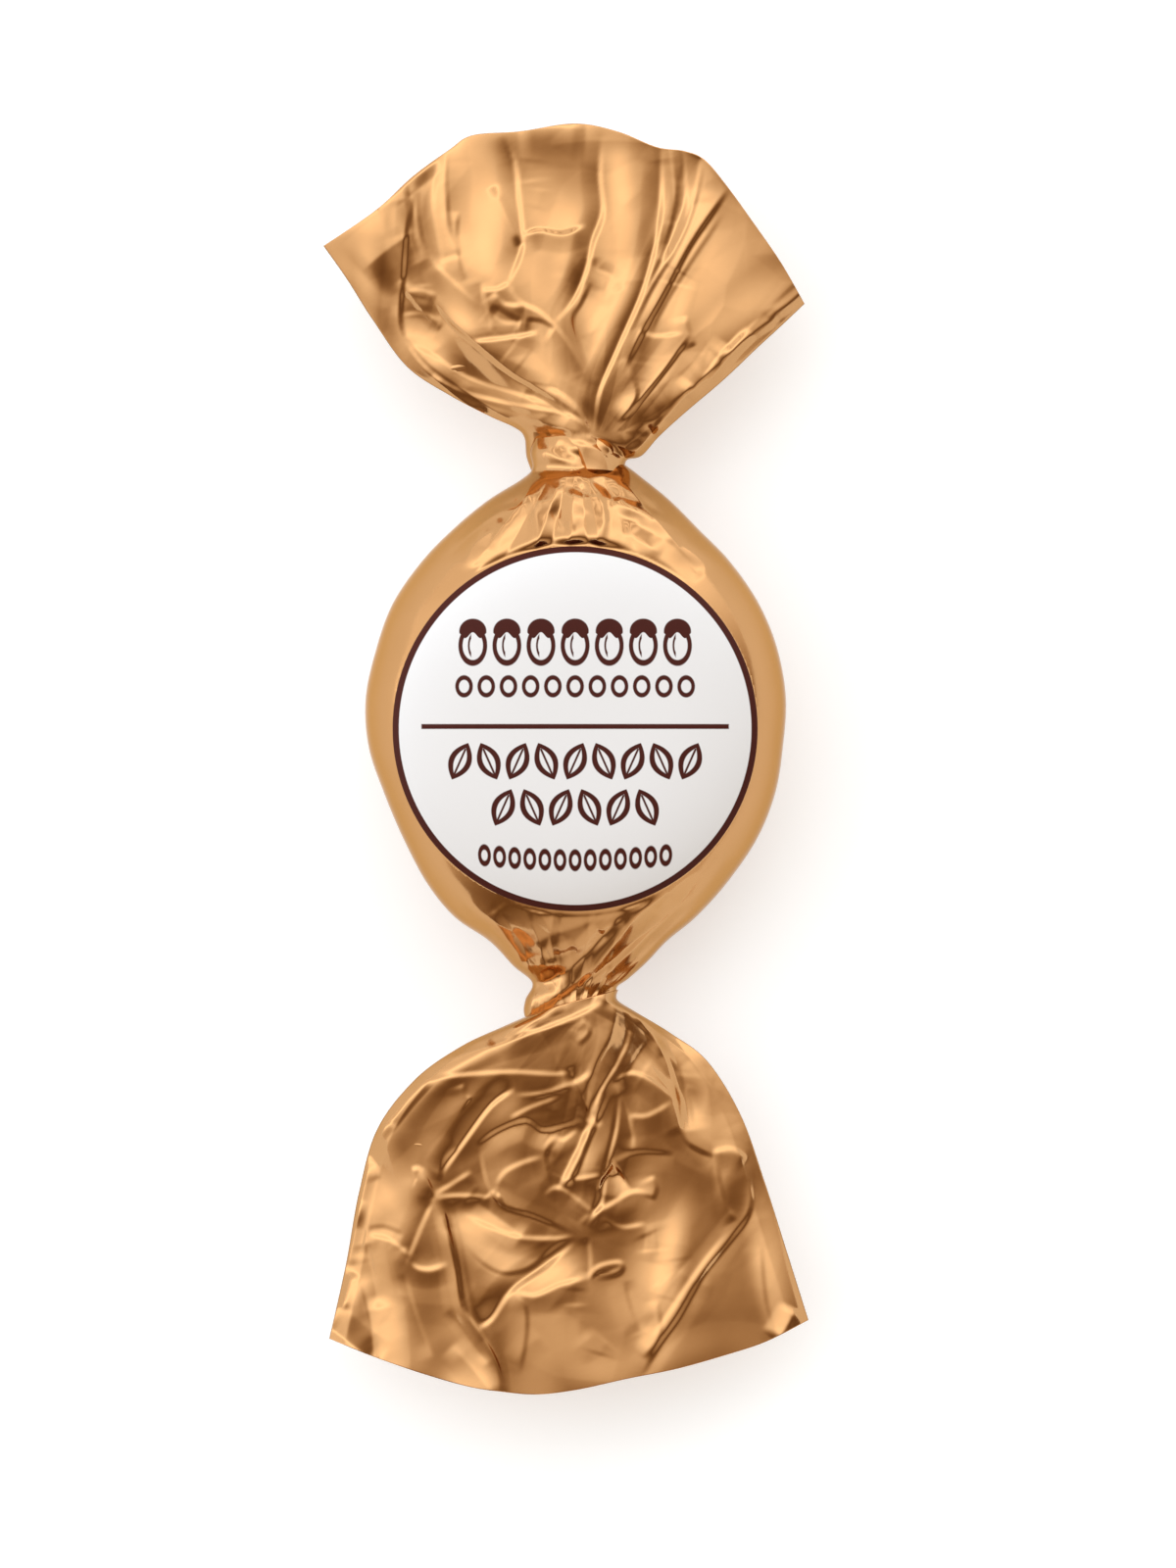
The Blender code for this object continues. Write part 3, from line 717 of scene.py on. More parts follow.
BOTTOM_FOLDS = folds(
    (0.16, 1.1, 2.3, (627, 1018), (627, 1053), (609, 1086), (593, 1121), (597, 1145)),
    (0.2, 2.5, 2.1, (632, 1020), (640, 1052), (629, 1082), (611, 1112), (599, 1143)),
    open_start=True,
) + folds(
    (-0.12, 2.2, 1.1, (636, 1024), (661, 1055), (682, 1086), (693, 1121), (695, 1150),
     (700, 1172)),
    (-0.38, 1.7, 1, (652, 1036), (690, 1081), (700, 1122), (704, 1155)),
    (0.42, 1.2, 1.3, (668, 1045), (637, 1030), (606, 1014)),
    (0.17, 3.2, 3.2, (441, 1089), (472, 1074), (504, 1058)),
    (-0.03, 0.6, 0.6, (443, 1095), (470, 1073), (498, 1051)),
    (-0.05, 0.6, 0.7, (459, 1079), (490, 1063), (522, 1049)),
    (0.09, 0.6, 0.6, (466, 1074), (497, 1057), (529, 1043)),
    (0.16, 0.6, 0.6, (513, 1054), (543, 1037), (577, 1024)),
    (-0.07, 2.2, 1.8, (526, 1108), (503, 1129), (471, 1167), (446, 1200)),
    (-0.32, 2.9, 3.2, (576, 1110), (563, 1072), (543, 1040)),
    (-0.11, 1.2, 1.1, (628, 1104), (640, 1140), (645, 1174)),
    (0.32, 1.7, 1.8, (629, 1107), (624, 1150), (615, 1190), (606, 1227), (594, 1250)),
    (-0.13, 1.4, 1, (660, 1056), (646, 1080), (629, 1106)),
    (-0.21, 3.3, 3.6, (675, 1104), (691, 1091), (708, 1078)),
    (0.25, 0.6, 0.6, (678, 1079), (664, 1047), (647, 1016)),
    (0.24, 0.6, 0.6, (679, 1062), (652, 1037), (622, 1018)),
    (0.23, 0.6, 0.6, (394, 1151), (416, 1123), (440, 1097)),
    (-0.11, 1.3, 1.4, (524, 1121), (557, 1120), (589, 1106), (606, 1092)),
    (-0.08, 0.9, 0.9, (559, 1157), (572, 1163), (591, 1151)),
    (-0.07, 0.9, 0.9, (599, 1143), (588, 1172), (566, 1216)),
    (-0.25, 0.6, 0.6, (610, 1151), (595, 1120), (580, 1088)),
    (0.03, 1.4, 1.1, (690, 1151), (703, 1169), (730, 1184)),
    (0.22, 0.6, 0.6, (374, 1175), (386, 1159), (399, 1144)),
    (0.08, 1, 1.1, (438, 1226), (469, 1222), (500, 1223)),
    (0.15, 0.9, 0.8, (449, 1222), (457, 1256), (476, 1340), (493, 1369)),
    (0.1, 1.2, 1.9, (487, 1173), (494, 1207), (511, 1230), (545, 1246), (589, 1262)),
    (0.03, 0.9, 0.9, (500, 1216), (507, 1222), (512, 1221)),
    (0.04, 0.9, 0.9, (575, 1205), (596, 1203), (617, 1201)),
    (-0.52, 1.4, 1.5, (618, 1197), (625, 1200), (634, 1195)),
    (0.07, 1, 1.4, (726, 1178), (746, 1177), (763, 1184)),
    (0.27, 0.8, 0.8, (362, 1254), (370, 1219), (378, 1185)),
    (0.05, 1.3, 1, (374, 1261), (399, 1266), (419, 1286)),
    (0.09, 0.9, 1.2, (412, 1272), (419, 1292), (438, 1299), (460, 1290)),
    (0.12, 0.6, 0.6, (460, 1255), (444, 1223), (427, 1193)),
    (0.08, 1.8, 1.3, (470, 1268), (489, 1291), (514, 1303), (541, 1295), (566, 1276), (588, 1263)),
    (-0.19, 1.4, 1.3, (534, 1261), (505, 1240), (478, 1219)),
    (-0.05, 1.1, 2.5, (588, 1263), (557, 1290), (521, 1318), (502, 1345), (484, 1354)),
    (0.23, 0.6, 0.6, (351, 1337), (355, 1317), (361, 1298)),
    (0.18, 0.6, 0.6, (355, 1292), (362, 1257), (369, 1223)),
    (-0.31, 1.4, 1.3, (387, 1337), (380, 1301), (372, 1268)),
    (0.07, 1.4, 1.6, (521, 1319), (544, 1323), (575, 1311), (601, 1306)),
    (-0.08, 1.2, 1, (634, 1308), (644, 1336), (653, 1362)),
    (0.05, 0.9, 1.1, (668, 1325), (672, 1361), (653, 1386)),
    (-0.47, 1.3, 1.7, (388, 1392), (358, 1371), (330, 1349)),
    (-0.12, 0.6, 0.6, (498, 1392), (477, 1364), (456, 1336)),
    (0.28, 1.4, 1.4, (793, 1369), (803, 1353), (813, 1335)),
    (0.18, 1.3, 1.2, (507, 1429), (486, 1402), (460, 1373)),
) + folds(
    (0.06, 0.8, 4, (430, 1088), (480, 1074), (529, 1057), (586, 1042), (626, 1018)),
    (0.16, 0.8, 3.2, (440, 1222), (453, 1252), (463, 1292), (473, 1332), (490, 1360), (506, 1392),
     (510, 1425)),
    (-0.06, 1, 3, (764, 1184), (764, 1232), (745, 1262), (718, 1302), (694, 1344), (675, 1372),
     (653, 1408)),
    (-0.63, 2.7, 1.8, (360, 1283), (377, 1341), (382, 1388)),
    open_end=True,
)
BOTTOM_SWELLS = swells(
    (537, 1028, 170, 48, 0.81, 38),
    (454, 1086, 170, 76, 1.63, 33),
    (524, 1073, 166, 55, 0.19, 11),
    (612, 1082, 34, 72, 0.26, 9),
    (654, 1073, 26, 47, -0.33, 40),
    (410, 1120, 170, 68, 1.66, 49),
    (485, 1133, 44, 121, 0.67, -55),
    (514, 1119, 86, 33, -0.29, 41),
    (570, 1133, 70, 47, -0.34, 13),
    (647, 1122, 170, 170, -1.3),
    (710, 1111, 49, 119, -1.02, 32),
    (403, 1168, 33, 170, 0.9, 27),
    (563, 1170, 114, 45, -0.27, 10),
    (601, 1153, 65, 163, -0.39, -27),
    (391, 1207, 121, 113, 1.11, -19),
    (477, 1197, 58, 111, -0.39, -21),
    (525, 1209, 94, 109, -0.48, -4),
    (571, 1217, 142, 43, -0.33, -18),
    (638, 1202, 41, 52, -0.44, -5),
    (702, 1210, 150, 112, -0.52, -6),
    (742, 1182, 48, 56, 0.05, -3),
    (745, 1213, 20, 59, 0.2, 6),
    (400, 1247, 78, 101, 0.15, 26),
    (512, 1248, 170, 61, -0.7, -27),
    (574, 1256, 63, 60, -0.43, -11),
    (624, 1240, 41, 21, 0.15, 23),
    (501, 1286, 106, 40, -0.15, 3),
    (558, 1296, 63, 55, -0.22, 40),
    (632, 1285, 77, 170, -0.62, 4),
    (658, 1273, 35, 82, -0.34, 27),
    (692, 1289, 28, 100, 0.21, -11),
    (362, 1319, 37, 141, 0.36, -42),
    (434, 1315, 68, 147, 0.21, -6),
    (502, 1324, 56, 30, 0.09, 30),
    (761, 1322, 53, 170, -0.7, 22),
    (451, 1367, 56, 118, -0.87, 13),
    (579, 1343, 127, 51, 0.12, -24),
    (716, 1358, 170, 153, 1.43, -1),
    (813, 1344, 42, 170, 1.09, 15),
    (474, 1403, 52, 52, -0.34),
    (526, 1401, 47, 160, -1.06, 23),
    (598, 1418, 147, 66, 0.86, -50),
    (694, 1411, 170, 65, 0.44, 13),
)
BOTTOM_LINES = sharp(
    (-0.15, (632, 1020), (640, 1052), (629, 1082), (611, 1112), (599, 1144)),
    (0.09, (626, 1018), (624, 1052), (608, 1086), (598, 1122), (596, 1144)),
    (0.13, (636, 1024), (662, 1054), (681, 1086), (690, 1122), (693, 1150), (700, 1172)),
    (0.06, (652, 1036), (686, 1082), (701, 1124), (705, 1152)),
    (0.09, (660, 1056), (644, 1080), (630, 1106)),
    (0.1, (624, 1108), (643, 1097), (664, 1104), (690, 1126)),
    (-0.06, (626, 1104), (640, 1140), (645, 1172)),
    (0.06, (640, 1140), (662, 1140), (690, 1124)),
    (-0.09, (690, 1150), (702, 1170), (730, 1184)),
    (0.14, (622, 1108), (604, 1150), (586, 1194), (574, 1212)),
    (-0.15, (630, 1108), (627, 1150), (617, 1190), (611, 1228), (594, 1250)),
    (-0.1, (600, 1144), (588, 1172), (566, 1216)),
    (0.06, (575, 1206), (595, 1204), (616, 1200)),
    (0.06, (566, 1160), (555, 1180), (564, 1216)),
    (0.1, (430, 1088), (480, 1074), (530, 1060), (585, 1040), (626, 1018)),
    (0.07, (416, 1106), (462, 1100), (520, 1096), (568, 1098), (592, 1092)),
    (0.06, (470, 1106), (474, 1118), (480, 1124)),
    (-0.14, (526, 1108), (500, 1126), (470, 1166), (446, 1200)),
    (0.08, (524, 1120), (556, 1117), (590, 1106), (606, 1092)),
    (-0.14, (486, 1172), (508, 1156), (536, 1146), (556, 1156), (598, 1144)),
    (0.06, (520, 1144), (542, 1132), (574, 1120)),
    (0.06, (560, 1158), (575, 1165), (592, 1152)),
    (0.06, (592, 1040), (600, 1052), (588, 1066)),
    (0.06, (468, 1168), (452, 1182), (446, 1206)),
    (-0.13, (487, 1172), (494, 1206), (510, 1232), (545, 1244), (588, 1263)),
    (0.06, (508, 1212), (516, 1198), (535, 1188), (556, 1182)),
    (0.06, (500, 1216), (506, 1222), (512, 1220)),
    (0.06, (556, 1222), (570, 1214), (596, 1232), (606, 1240)),
    (0.08, (420, 1196), (430, 1196), (442, 1222)),
    (0.07, (440, 1224), (470, 1222), (502, 1224)),
    (0.07, (442, 1222), (462, 1210), (484, 1196)),
    (0.15, (440, 1222), (454, 1252), (464, 1292), (470, 1334), (488, 1360), (506, 1392),
     (515, 1424)),
    (-0.06, (450, 1224), (462, 1256), (478, 1340), (492, 1368)),
    (-0.08, (440, 1224), (428, 1250), (412, 1290)),
    (0.08, (412, 1272), (420, 1292), (438, 1297), (460, 1290)),
    (0.07, (374, 1262), (398, 1268), (418, 1284)),
    (-0.06, (374, 1256), (392, 1254), (412, 1262)),
    (-0.06, (410, 1298), (424, 1345), (440, 1386)),
    (0.06, (362, 1286), (374, 1340), (388, 1388)),
    (0.06, (372, 1178), (380, 1190), (386, 1204)),
    (-0.06, (470, 1268), (490, 1290), (514, 1302), (542, 1296), (566, 1276), (588, 1263)),
    (0.07, (470, 1240), (520, 1262), (560, 1266), (588, 1263)),
    (-0.14, (588, 1263), (556, 1290), (520, 1316), (500, 1344), (484, 1354)),
    (0.06, (521, 1318), (534, 1334), (535, 1362), (528, 1404)),
    (0.06, (521, 1318), (545, 1324), (575, 1312), (600, 1306)),
    (0.08, (590, 1252), (606, 1240), (622, 1232), (646, 1218), (664, 1222)),
    (0.06, (612, 1242), (634, 1254), (662, 1250)),
    (0.06, (664, 1200), (668, 1212), (664, 1224)),
    (-0.06, (598, 1262), (600, 1284), (600, 1306)),
    (0.07, (600, 1306), (612, 1294), (632, 1290), (630, 1298), (606, 1304)),
    (0.07, (726, 1178), (746, 1174), (763, 1184)),
    (0.15, (764, 1184), (764, 1232), (745, 1262), (715, 1300), (690, 1342), (671, 1370),
     (652, 1408)),
    (0.07, (728, 1184), (738, 1226), (750, 1246)),
    (-0.06, (742, 1254), (712, 1292), (680, 1340), (664, 1364)),
    (0.06, (668, 1326), (672, 1362), (655, 1386)),
    (0.06, (634, 1308), (642, 1336), (652, 1360)),
    (0.06, (774, 1268), (780, 1330), (792, 1366)),
    (-0.06, (620, 1190), (650, 1178), (690, 1180)),
)


def make_end(name, stations, mouth, creases, focus, box, seed):
    """One spread end: its outside from the twist to the mouth, and its inside back to a point."""
    x, y, side, is_front, base, rise, front, back = loft(
        stations, *END_GRID, evenness=0.72, mouth=mouth
    )
    rows = END_GRID[0]
    share = np.linspace(0, 1, rows)[:, None]
    creases = creases + tuple(
        small_folds(seed, 40, *box, focus, heights=(0.01, 0.04), lengths=(14, 60))
    )
    edge = smooth_step(0.0, 0.2, 1 - np.abs(side))
    facets = crumpled(x, y, seed, focus, spacing=3.4, steepness=0.045)
    relief = pressed(creases, x, y) + facets * np.minimum(share * 3.0, 1.0)
    top = base + front * rise + relief
    waves = soft_waves(x, y, seed + 1, length=5.0, height=0.12)
    hidden = pressed(creases, -x, y) * 0.75 + waves
    under = base - back * rise + relief + (hidden * smooth_step(0.0, 0.3, share) - relief) * edge
    # The two sides meet at the edge and keep apart inside it.
    inner = np.minimum(edge * 3, 1.0)
    middle, half = (top + under) / 2, (top - under) / 2
    half = (half + np.sqrt(half**2 + 4 * (LEAST_HALF * inner) ** 2)) / 2
    z = np.where(is_front, middle + half, middle - half)
    outside = np.stack(np.broadcast_arrays(x, y, z), axis=-1)
    first = int(rows * (1 - POCKET_DEPTH))
    wall = np.where(is_front, -FOIL_WALL, FOIL_WALL) * inner
    inside = outside[first:][::-1].copy()
    inside[..., 2] += wall[first:][::-1]
    centre = inside.mean(axis=1, keepdims=True)
    inside[..., :2] += (centre[..., :2] - inside[..., :2]) * INSIDE_SHRINK
    return rolled_sheet(name, closed(as_seen(outside), as_seen(inside[::INSIDE_STEP])))


# The label


def make_label():
    """A paper disc domed over the praline, with its edge turned down."""
    bpy.ops.object.select_all(action="DESELECT")
    bpy.ops.mesh.primitive_circle_add(
        vertices=LABEL_SIDES, radius=LABEL_RADIUS * MM, fill_type="NGON", location=(0, 0, 0)
    )
    label = bpy.context.object
    label.name = "round_label"
    bpy.ops.object.mode_set(mode="EDIT")
    bpy.ops.mesh.select_all(action="SELECT")
    for _ in range(LABEL_RINGS):
        bpy.ops.mesh.inset(thickness=LABEL_RING_STEP * MM, depth=0)
    bpy.ops.mesh.poke()
    bpy.ops.object.mode_set(mode="OBJECT")
    for vertex in label.data.vertices:
        radius = math.hypot(vertex.co.x, vertex.co.y) / MM
        vertex.co.z = (float(dome_height(radius)) + LABEL_PROUD) * MM
    paper = label.modifiers.new("paper", "SOLIDIFY")
    paper.thickness = LABEL_THICKNESS * MM
    paper.offset = -1.0
    bpy.ops.object.modifier_apply(modifier=paper.name)
    edge = label.modifiers.new("soft edge", "BEVEL")
    edge.width = LABEL_EDGE * MM
    edge.segments = 2
    edge.angle_limit = math.radians(40)
    bpy.ops.object.modifier_apply(modifier=edge.name)
    bpy.ops.object.mode_set(mode="EDIT")
    bpy.ops.mesh.select_all(action="SELECT")
    bpy.ops.mesh.normals_make_consistent(inside=False)
    bpy.ops.object.mode_set(mode="OBJECT")
    bpy.ops.object.shade_smooth()
    return label


# The materials


class Wire:
    """One socket of a shader's nodes. Arithmetic on it adds the Math nodes that work it out."""

    def __init__(self, nodes, socket):
        self.nodes = nodes
        self.socket = socket

    def math(self, operation, *values):
        return self.nodes.node("ShaderNodeMath", {"operation": operation}, *values)

    def __add__(self, other):
        return self.math("ADD", self, other)

    __radd__ = __add__

    def __sub__(self, other):
        return self.math("SUBTRACT", self, other)

    def __rsub__(self, other):
        return self.math("SUBTRACT", other, self)

    def __mul__(self, other):
        return self.math("MULTIPLY", self, other)

    __rmul__ = __mul__

    def __truediv__(self, other):
        return self.math("DIVIDE", self, other)

    def __rtruediv__(self, other):
        return self.math("DIVIDE", other, self)

    def __pow__(self, other):
        return self.math("POWER", self, other)

    def __abs__(self):
        return self.math("ABSOLUTE", self)

    def below(self, limit, softness):
        """1 where this is under the limit and 0 where it is over, with a soft step between."""
        return ((limit - self) / softness + 0.5).clamped()

    def clamped(self):
        return self.nodes.node("ShaderNodeClamp", {}, self)

    def floor(self):
        return self.math("FLOOR", self)

    def fraction(self):
        return self.math("FRACT", self)

    def cosine(self):
        return self.math("COSINE", self)

    def either(self, other):
        return self.math("MAXIMUM", self, other)

    def both(self, other):
        return self.math("MINIMUM", self, other)


class Finish:
    """A material built from nodes."""

    def __init__(self, name):
        self.material = bpy.data.materials.new(name)
        self.material.use_nodes = True
        self.tree = self.material.node_tree
        self.shader = self.tree.nodes["Principled BSDF"]

    def node(self, kind, settings, *values, output=0, **named):
        made = self.tree.nodes.new(kind)
        for name, value in settings.items():
            setattr(made, name, value)
        for key, value in (*enumerate(values), *named.items()):
            socket = made.inputs[key if isinstance(key, int) else key.replace("_", " ")]
            self.join(value, socket)
        return Wire(self, made.outputs[output])

    def join(self, value, socket):
        if isinstance(value, Wire):
            self.tree.links.new(value.socket, socket)
        else:
            socket.default_value = value

    def set(self, name, value):
        self.join(value, self.shader.inputs[name])

    def place(self):
        """The place on the object, in metres, as one vector."""
        return self.node("ShaderNodeTexCoord", {}, output="Object")

    def parts(self, vector):
        split = self.node("ShaderNodeSeparateXYZ", {}, vector)
        outputs = split.socket.node.outputs
        return [Wire(self, outputs[axis]) for axis in "XYZ"]

    def noise(self, vector, scale, detail=2.0, roughness=0.5):
        settings = {"Scale": scale, "Detail": detail, "Roughness": roughness}
        return self.node("ShaderNodeTexNoise", {}, Vector=vector, **settings)

    def blend(self, share, first, second):
        made = self.tree.nodes.new("ShaderNodeMix")
        made.data_type = "RGBA"
        self.join(share, made.inputs[0])
        self.join(first, made.inputs[6])
        self.join(second, made.inputs[7])
        return Wire(self, made.outputs[2])

    def bump(self, height, strength, distance):
        settings = {"Height": height, "Strength": strength, "Distance": distance}
        return self.node("ShaderNodeBump", {}, **settings)


def colour(red, green, blue):
    return (red, green, blue, 1.0)


def foil_finish():
    """Satin copper-gold lacquer on crumpled foil."""
    foil = Finish("copper gold foil")
    where = foil.place()
    broad = foil.noise(where, scale=260.0)
    fine = foil.noise(where, scale=1500.0, detail=3.0, roughness=0.6)
    deep, light = colour(0.51, 0.275, 0.115), colour(0.54, 0.295, 0.13)
    foil.set("Base Color", foil.blend(broad, deep, light))
    foil.set("Metallic", 1.0)
    foil.set("Roughness", 0.10 + 0.09 * fine)
    foil.set("Specular Tint", colour(0.80, 0.64, 0.46))
    foil.set("Normal", foil.bump(fine, strength=0.05, distance=0.00005))
    return foil.material


class Print:
    """Brown shapes on the label, laid out in millimetres from the label's middle."""

    def __init__(self, finish, x, y):
        self.finish = finish
        self.x = x
        self.y = y

    def inside(self, distance):
        """1 where a distance in millimetres is under zero, with a soft edge."""
        return (0.5 - distance / PRINT_SOFTNESS).clamped()

    def row(self, middle, pitch, count, sag=0.0):
        """Places in a row of equal cells: across and up in a cell, its turn, the row's mask."""
        across = (self.x - middle[0]) / pitch + count / 2
        cell = across.floor()
        mask = self.inside(abs(self.x - middle[0]) - pitch * count / 2)
        turn = 1.0 - 2.0 * (cell / 2.0).fraction() * 2.0
        up = self.y - middle[1] - sag * (self.x - middle[0]) ** 2.0
        return (across.fraction() - 0.5) * pitch, up, turn, mask

    def ring(self, u, v, middle, radii, line):
        """The outline of an oval."""
        share = (((u - middle[0]) / radii[0]) ** 2.0 + ((v - middle[1]) / radii[1]) ** 2.0) ** 0.5
        return self.inside(abs(share - 1.0) * min(radii) - line / 2)

    def nuts(self, middle, pitch, count):
        """Hazelnuts, each an outlined shell under a solid cap."""
        u, v, _, mask = self.row(middle, pitch, count)
        shell = self.ring(u, v, (0.0, -0.35), (0.92, 1.30), 0.32)
        share = (u / 1.02) ** 2.0 + ((v - 0.72) / 0.95) ** 2.0
        hem = self.inside(0.42 - v + 0.22 * (u * 5.5).cosine())
        cap = self.inside(share**0.5 - 1.0).both(hem)
        shine = self.ring(u, v, (0.12, -0.35), (0.42, 0.85), 0.14).both(self.inside(u + 0.12))
        return shell.either(cap).either(shine).both(mask)

    def leaves(self, middle, pitch, count, length, width, line):
        """Leaves with a midrib, leaning left and right in turn."""
        u, v, turn, mask = self.row(middle, pitch, count)
        lean = 0.42
        u = u * turn
        along = v * math.cos(lean) + u * math.sin(lean)
        across = abs(u * math.cos(lean) - v * math.sin(lean))
        edge = across - width * (1.0 - (along / length) ** 2.0)
        blade = self.inside(abs(edge) - line / 2)
        rib = self.inside(across - 0.08).both(self.inside(abs(along + 0.2) - length * 0.95))
        return blade.either(rib).both(mask)

    def beads(self, middle, pitch, count, radii, line, sag=0.0):
        """Small outlined ovals."""
        u, v, _, mask = self.row(middle, pitch, count, sag)
        return self.ring(u, v, (0.0, 0.0), radii, line).both(mask)


def label_finish():
    """White paper with a printed ring, a rule, and rows of nuts, leaves and beads."""
    paper = Finish("printed label paper")
    where = paper.place()
    x, y, _ = (part * 1000.0 for part in paper.parts(where))
    radius = (x * x + y * y) ** 0.5
    page = Print(paper, x, y)
    ink = 1.0 - radius.below(LABEL_RADIUS - RING_WIDTH, 0.05)
    rule = page.inside(abs(y - 0.15) - RULE_HALF[1]).both(page.inside(abs(x) - RULE_HALF[0]))
    ink = ink.either(rule)
    for drawing in (
        page.nuts((0.0, 6.55), pitch=2.55, count=7),
        page.beads((0.0, 3.15), pitch=1.66, count=11, radii=(0.52, 0.66), line=0.28),
        page.leaves((0.0, -2.45), pitch=2.15, count=9, length=1.3, width=0.64, line=0.42),
        page.leaves((0.0, -5.90), pitch=2.15, count=6, length=1.3, width=0.64, line=0.42),
        page.beads((0.0, -9.85), pitch=1.13, count=13, radii=(0.36, 0.62), line=0.25, sag=0.008),
    ):
        ink = ink.either(drawing)
    grain = paper.noise(where, scale=2600.0, detail=3.0)
    cloud = paper.noise(where, scale=90.0)
    white = paper.blend(cloud, colour(0.70, 0.72, 0.75), colour(0.73, 0.75, 0.78))
    brown = paper.blend(grain, colour(0.048, 0.008, 0.005), colour(0.062, 0.011, 0.007))
    paper.set("Base Color", paper.blend(ink, white, brown))
    paper.set("Roughness", 0.5 + 0.1 * grain)
    paper.set("Specular IOR Level", 0.12)
    paper.set("Normal", paper.bump(grain, strength=0.1, distance=0.00005))
    return paper.material


def table_finish():
    """A pale table that is lit a little from inside, so that shadows on it stay light."""
    table = Finish("pale table")
    table.set("Base Color", colour(0.66, 0.69, 0.71))
    table.set("Roughness", 0.8)
    table.set("Emission Color", colour(0.97, 0.98, 1.0))
    table.set("Emission Strength", 0.45)
    return table.material


def dress(piece, finish, node):
    """Gives a piece its material and says what it rides on and replaces."""
    piece.data.materials.clear()
    piece.data.materials.append(finish)
    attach(piece, "root")
    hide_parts(node)


# The studio

# How bright the air is, from away from the bright way (-1) to along it (1)
BRIGHT_WAY = (-0.45, 0.893, 0.0)
LIGHT_STRENGTH = 3.6
RAMP_SCALE = 2.5
BRIGHTNESS = (
    (-1.0, 0.8), (-0.85, 0.62), (-0.68, 0.38), (-0.5, 0.15), (-0.3, 0.3), (-0.15, 0.52),
    (0.0, 0.78), (0.15, 1.05), (0.3, 1.4), (0.45, 1.75), (0.6, 1.4), (0.75, 1.05), (0.9, 0.95),
    (1.0, 0.95),
)

# How bright the far panels are, from left (-1) to right (1), and where they fade in
PANELS_FROM = (0.7, 0.92)
PANELS = (
    (-1.0, 1.0), (-0.45, 1.2), (-0.33, 0.5), (-0.2, 1.6), (-0.1, 0.55), (0.02, 1.5),
    (0.12, 0.5), (0.22, 1.5), (0.33, 0.6), (0.45, 1.2), (1.0, 1.0),
)

# The table, in metres: how wide it is, and how far it lies under the praline
TABLE_SIZE = 6.0
TABLE_DROP = 0.0004


def light_colour(level):
    """The dimmer the light, the warmer it is."""
    warmth = min(level, 1.0)
    red = level / RAMP_SCALE
    return colour(red, red * warmth**0.3, red * warmth**0.7)


def light_ramp(tree, levels):
    """A colour ramp over -1 to 1 with a light level at each of its stops."""
    share = tree.nodes.new("ShaderNodeMapRange")
    share.inputs[1].default_value = -1.0
    ramp = tree.nodes.new("ShaderNodeValToRGB")
    tree.links.new(share.outputs[0], ramp.inputs[0])
    stops = ramp.color_ramp.elements
    while len(stops) < len(levels):
        stops.new(0.5)
    for stop, (toward, level) in zip(stops, levels):
        stop.position = (toward + 1.0) / 2
        stop.color = light_colour(level)
    return share.inputs[0], ramp.outputs[0]


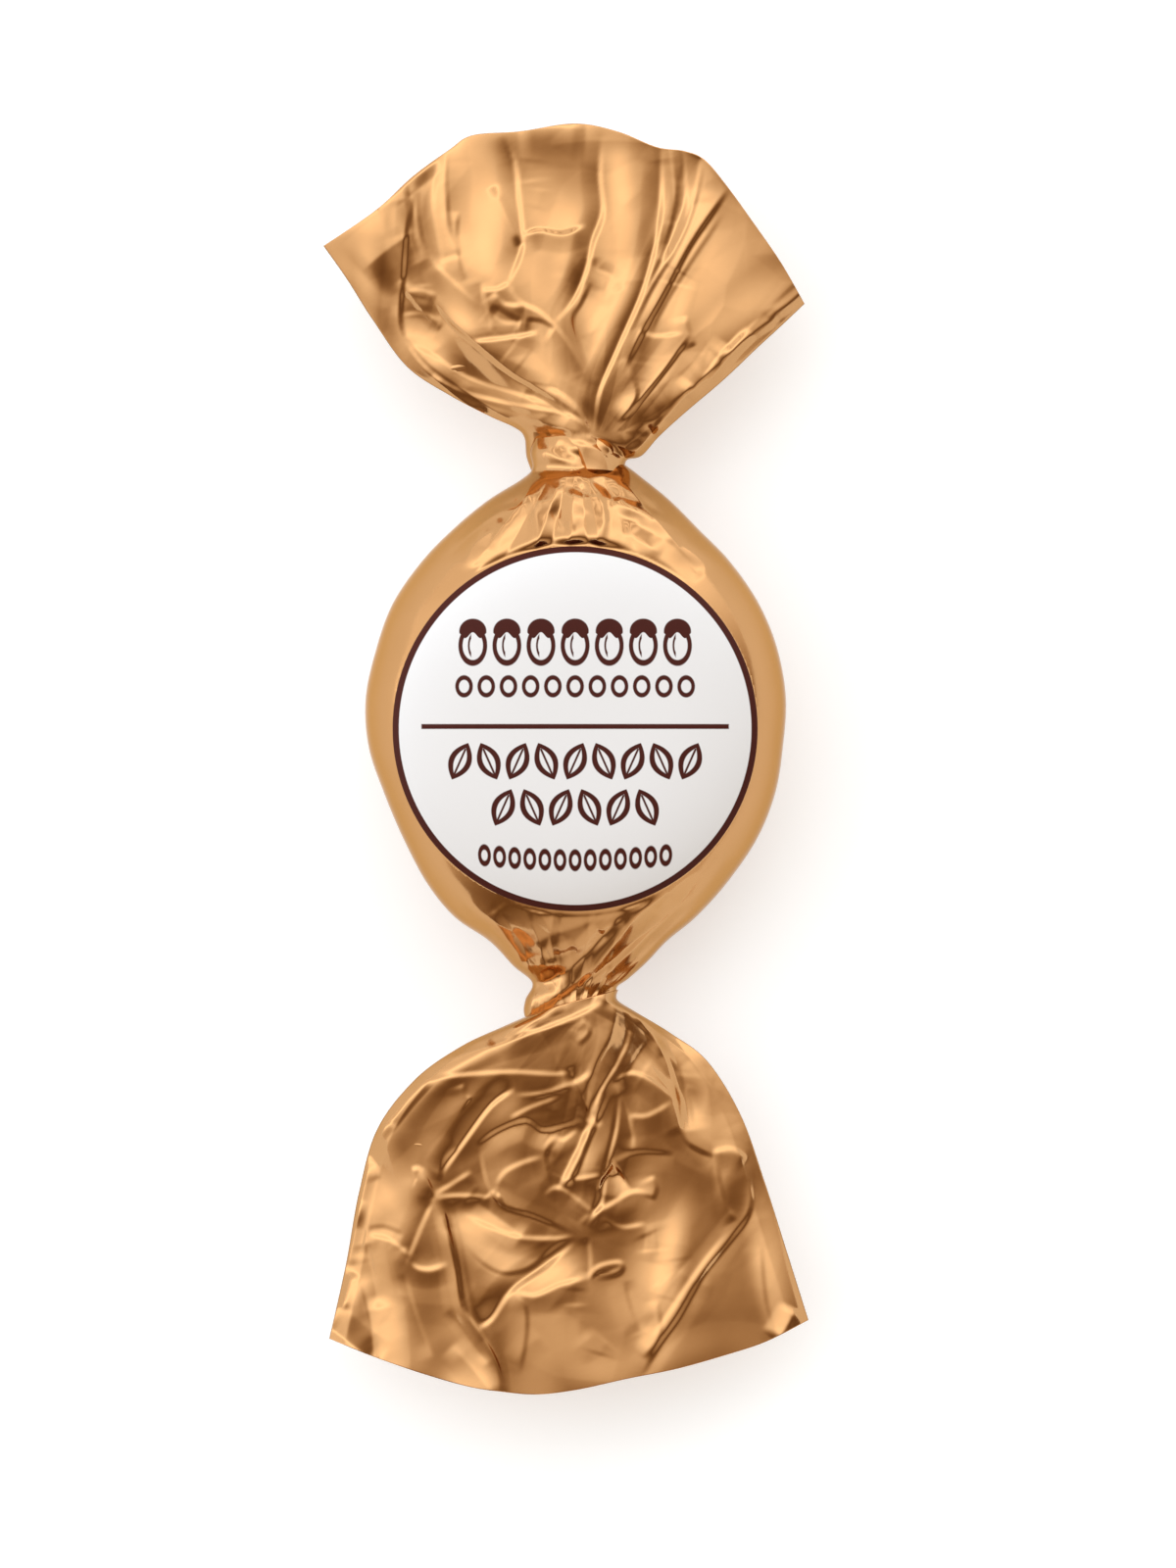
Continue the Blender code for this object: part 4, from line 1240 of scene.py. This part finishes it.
def make_air():
    """Soft studio light: bright past the top of the picture, dim past its foot.

    Low at the far side hang some narrow panels, which the shoulder's folds pick up.
    """
    world = bpy.data.worlds.new("studio air")
    world.use_nodes = True
    tree = world.node_tree
    air = tree.nodes["Background"]
    way = tree.nodes.new("ShaderNodeTexCoord")
    along = tree.nodes.new("ShaderNodeVectorMath")
    along.operation = "DOT_PRODUCT"
    along.inputs[1].default_value = BRIGHT_WAY
    tree.links.new(way.outputs["Generated"], along.inputs[0])
    share, soft = light_ramp(tree, BRIGHTNESS)
    tree.links.new(along.outputs["Value"], share)
    parts = tree.nodes.new("ShaderNodeSeparateXYZ")
    tree.links.new(way.outputs["Generated"], parts.inputs[0])
    sideways, panels = light_ramp(tree, PANELS)
    tree.links.new(parts.outputs["X"], sideways)
    low_there = tree.nodes.new("ShaderNodeMapRange")
    low_there.interpolation_type = "SMOOTHSTEP"
    low_there.inputs[1].default_value, low_there.inputs[2].default_value = PANELS_FROM
    tree.links.new(parts.outputs["Y"], low_there.inputs[0])
    both = tree.nodes.new("ShaderNodeMix")
    both.data_type = "RGBA"
    tree.links.new(low_there.outputs[0], both.inputs[0])
    tree.links.new(soft, both.inputs[6])
    tree.links.new(panels, both.inputs[7])
    tree.links.new(both.outputs[2], air.inputs["Color"])
    air.inputs["Strength"].default_value = LIGHT_STRENGTH
    bpy.context.scene.world = world


def make_studio():
    """A wide pale table just under the praline, and the light round it."""
    bpy.ops.object.select_all(action="DESELECT")
    bpy.ops.mesh.primitive_plane_add(size=TABLE_SIZE, location=(0, 0, -TABLE_DROP))
    table = bpy.context.object
    table.name = "table"
    table.data.materials.append(table_finish())
    make_air()
    bpy.context.scene.view_settings.view_transform = "Standard"


def make_camera():
    """A camera straight above the middle of the picture."""
    lens = bpy.data.cameras.new("camera")
    camera = bpy.data.objects.new("camera", lens)
    bpy.context.scene.collection.objects.link(camera)
    camera.location = (VIEW_X * MM, VIEW_Y * MM, CAMERA_HEIGHT * MM)
    lens.sensor_width = 36.0
    lens.lens = 36.0 * (CAMERA_HEIGHT - MID_HEIGHT) / (PHOTO_HEIGHT * PIXEL)
    lens.clip_start = 0.01
    bpy.context.scene.camera = camera


# The whole

foil = foil_finish()
praline = make_praline_foil()
top_creases = TOP_FOLDS + TOP_SWELLS + TOP_LINES
top_end = make_end(
    "top_end_foil", TOP_STATIONS, TOP_MOUTH, top_creases,
    focus=(600, 440), box=((380, 150), (780, 430)), seed=11,
)
bottom_creases = BOTTOM_FOLDS + BOTTOM_SWELLS + BOTTOM_LINES
bottom_end = make_end(
    "bottom_end_foil", BOTTOM_STATIONS, BOTTOM_MOUTH, bottom_creases,
    focus=(610, 1040), box=((370, 1060), (790, 1400)), seed=23,
)
for piece in (praline, top_end, bottom_end):
    dress(piece, foil, "wrapper")
dress(make_label(), label_finish(), "label")
make_studio()
make_camera()
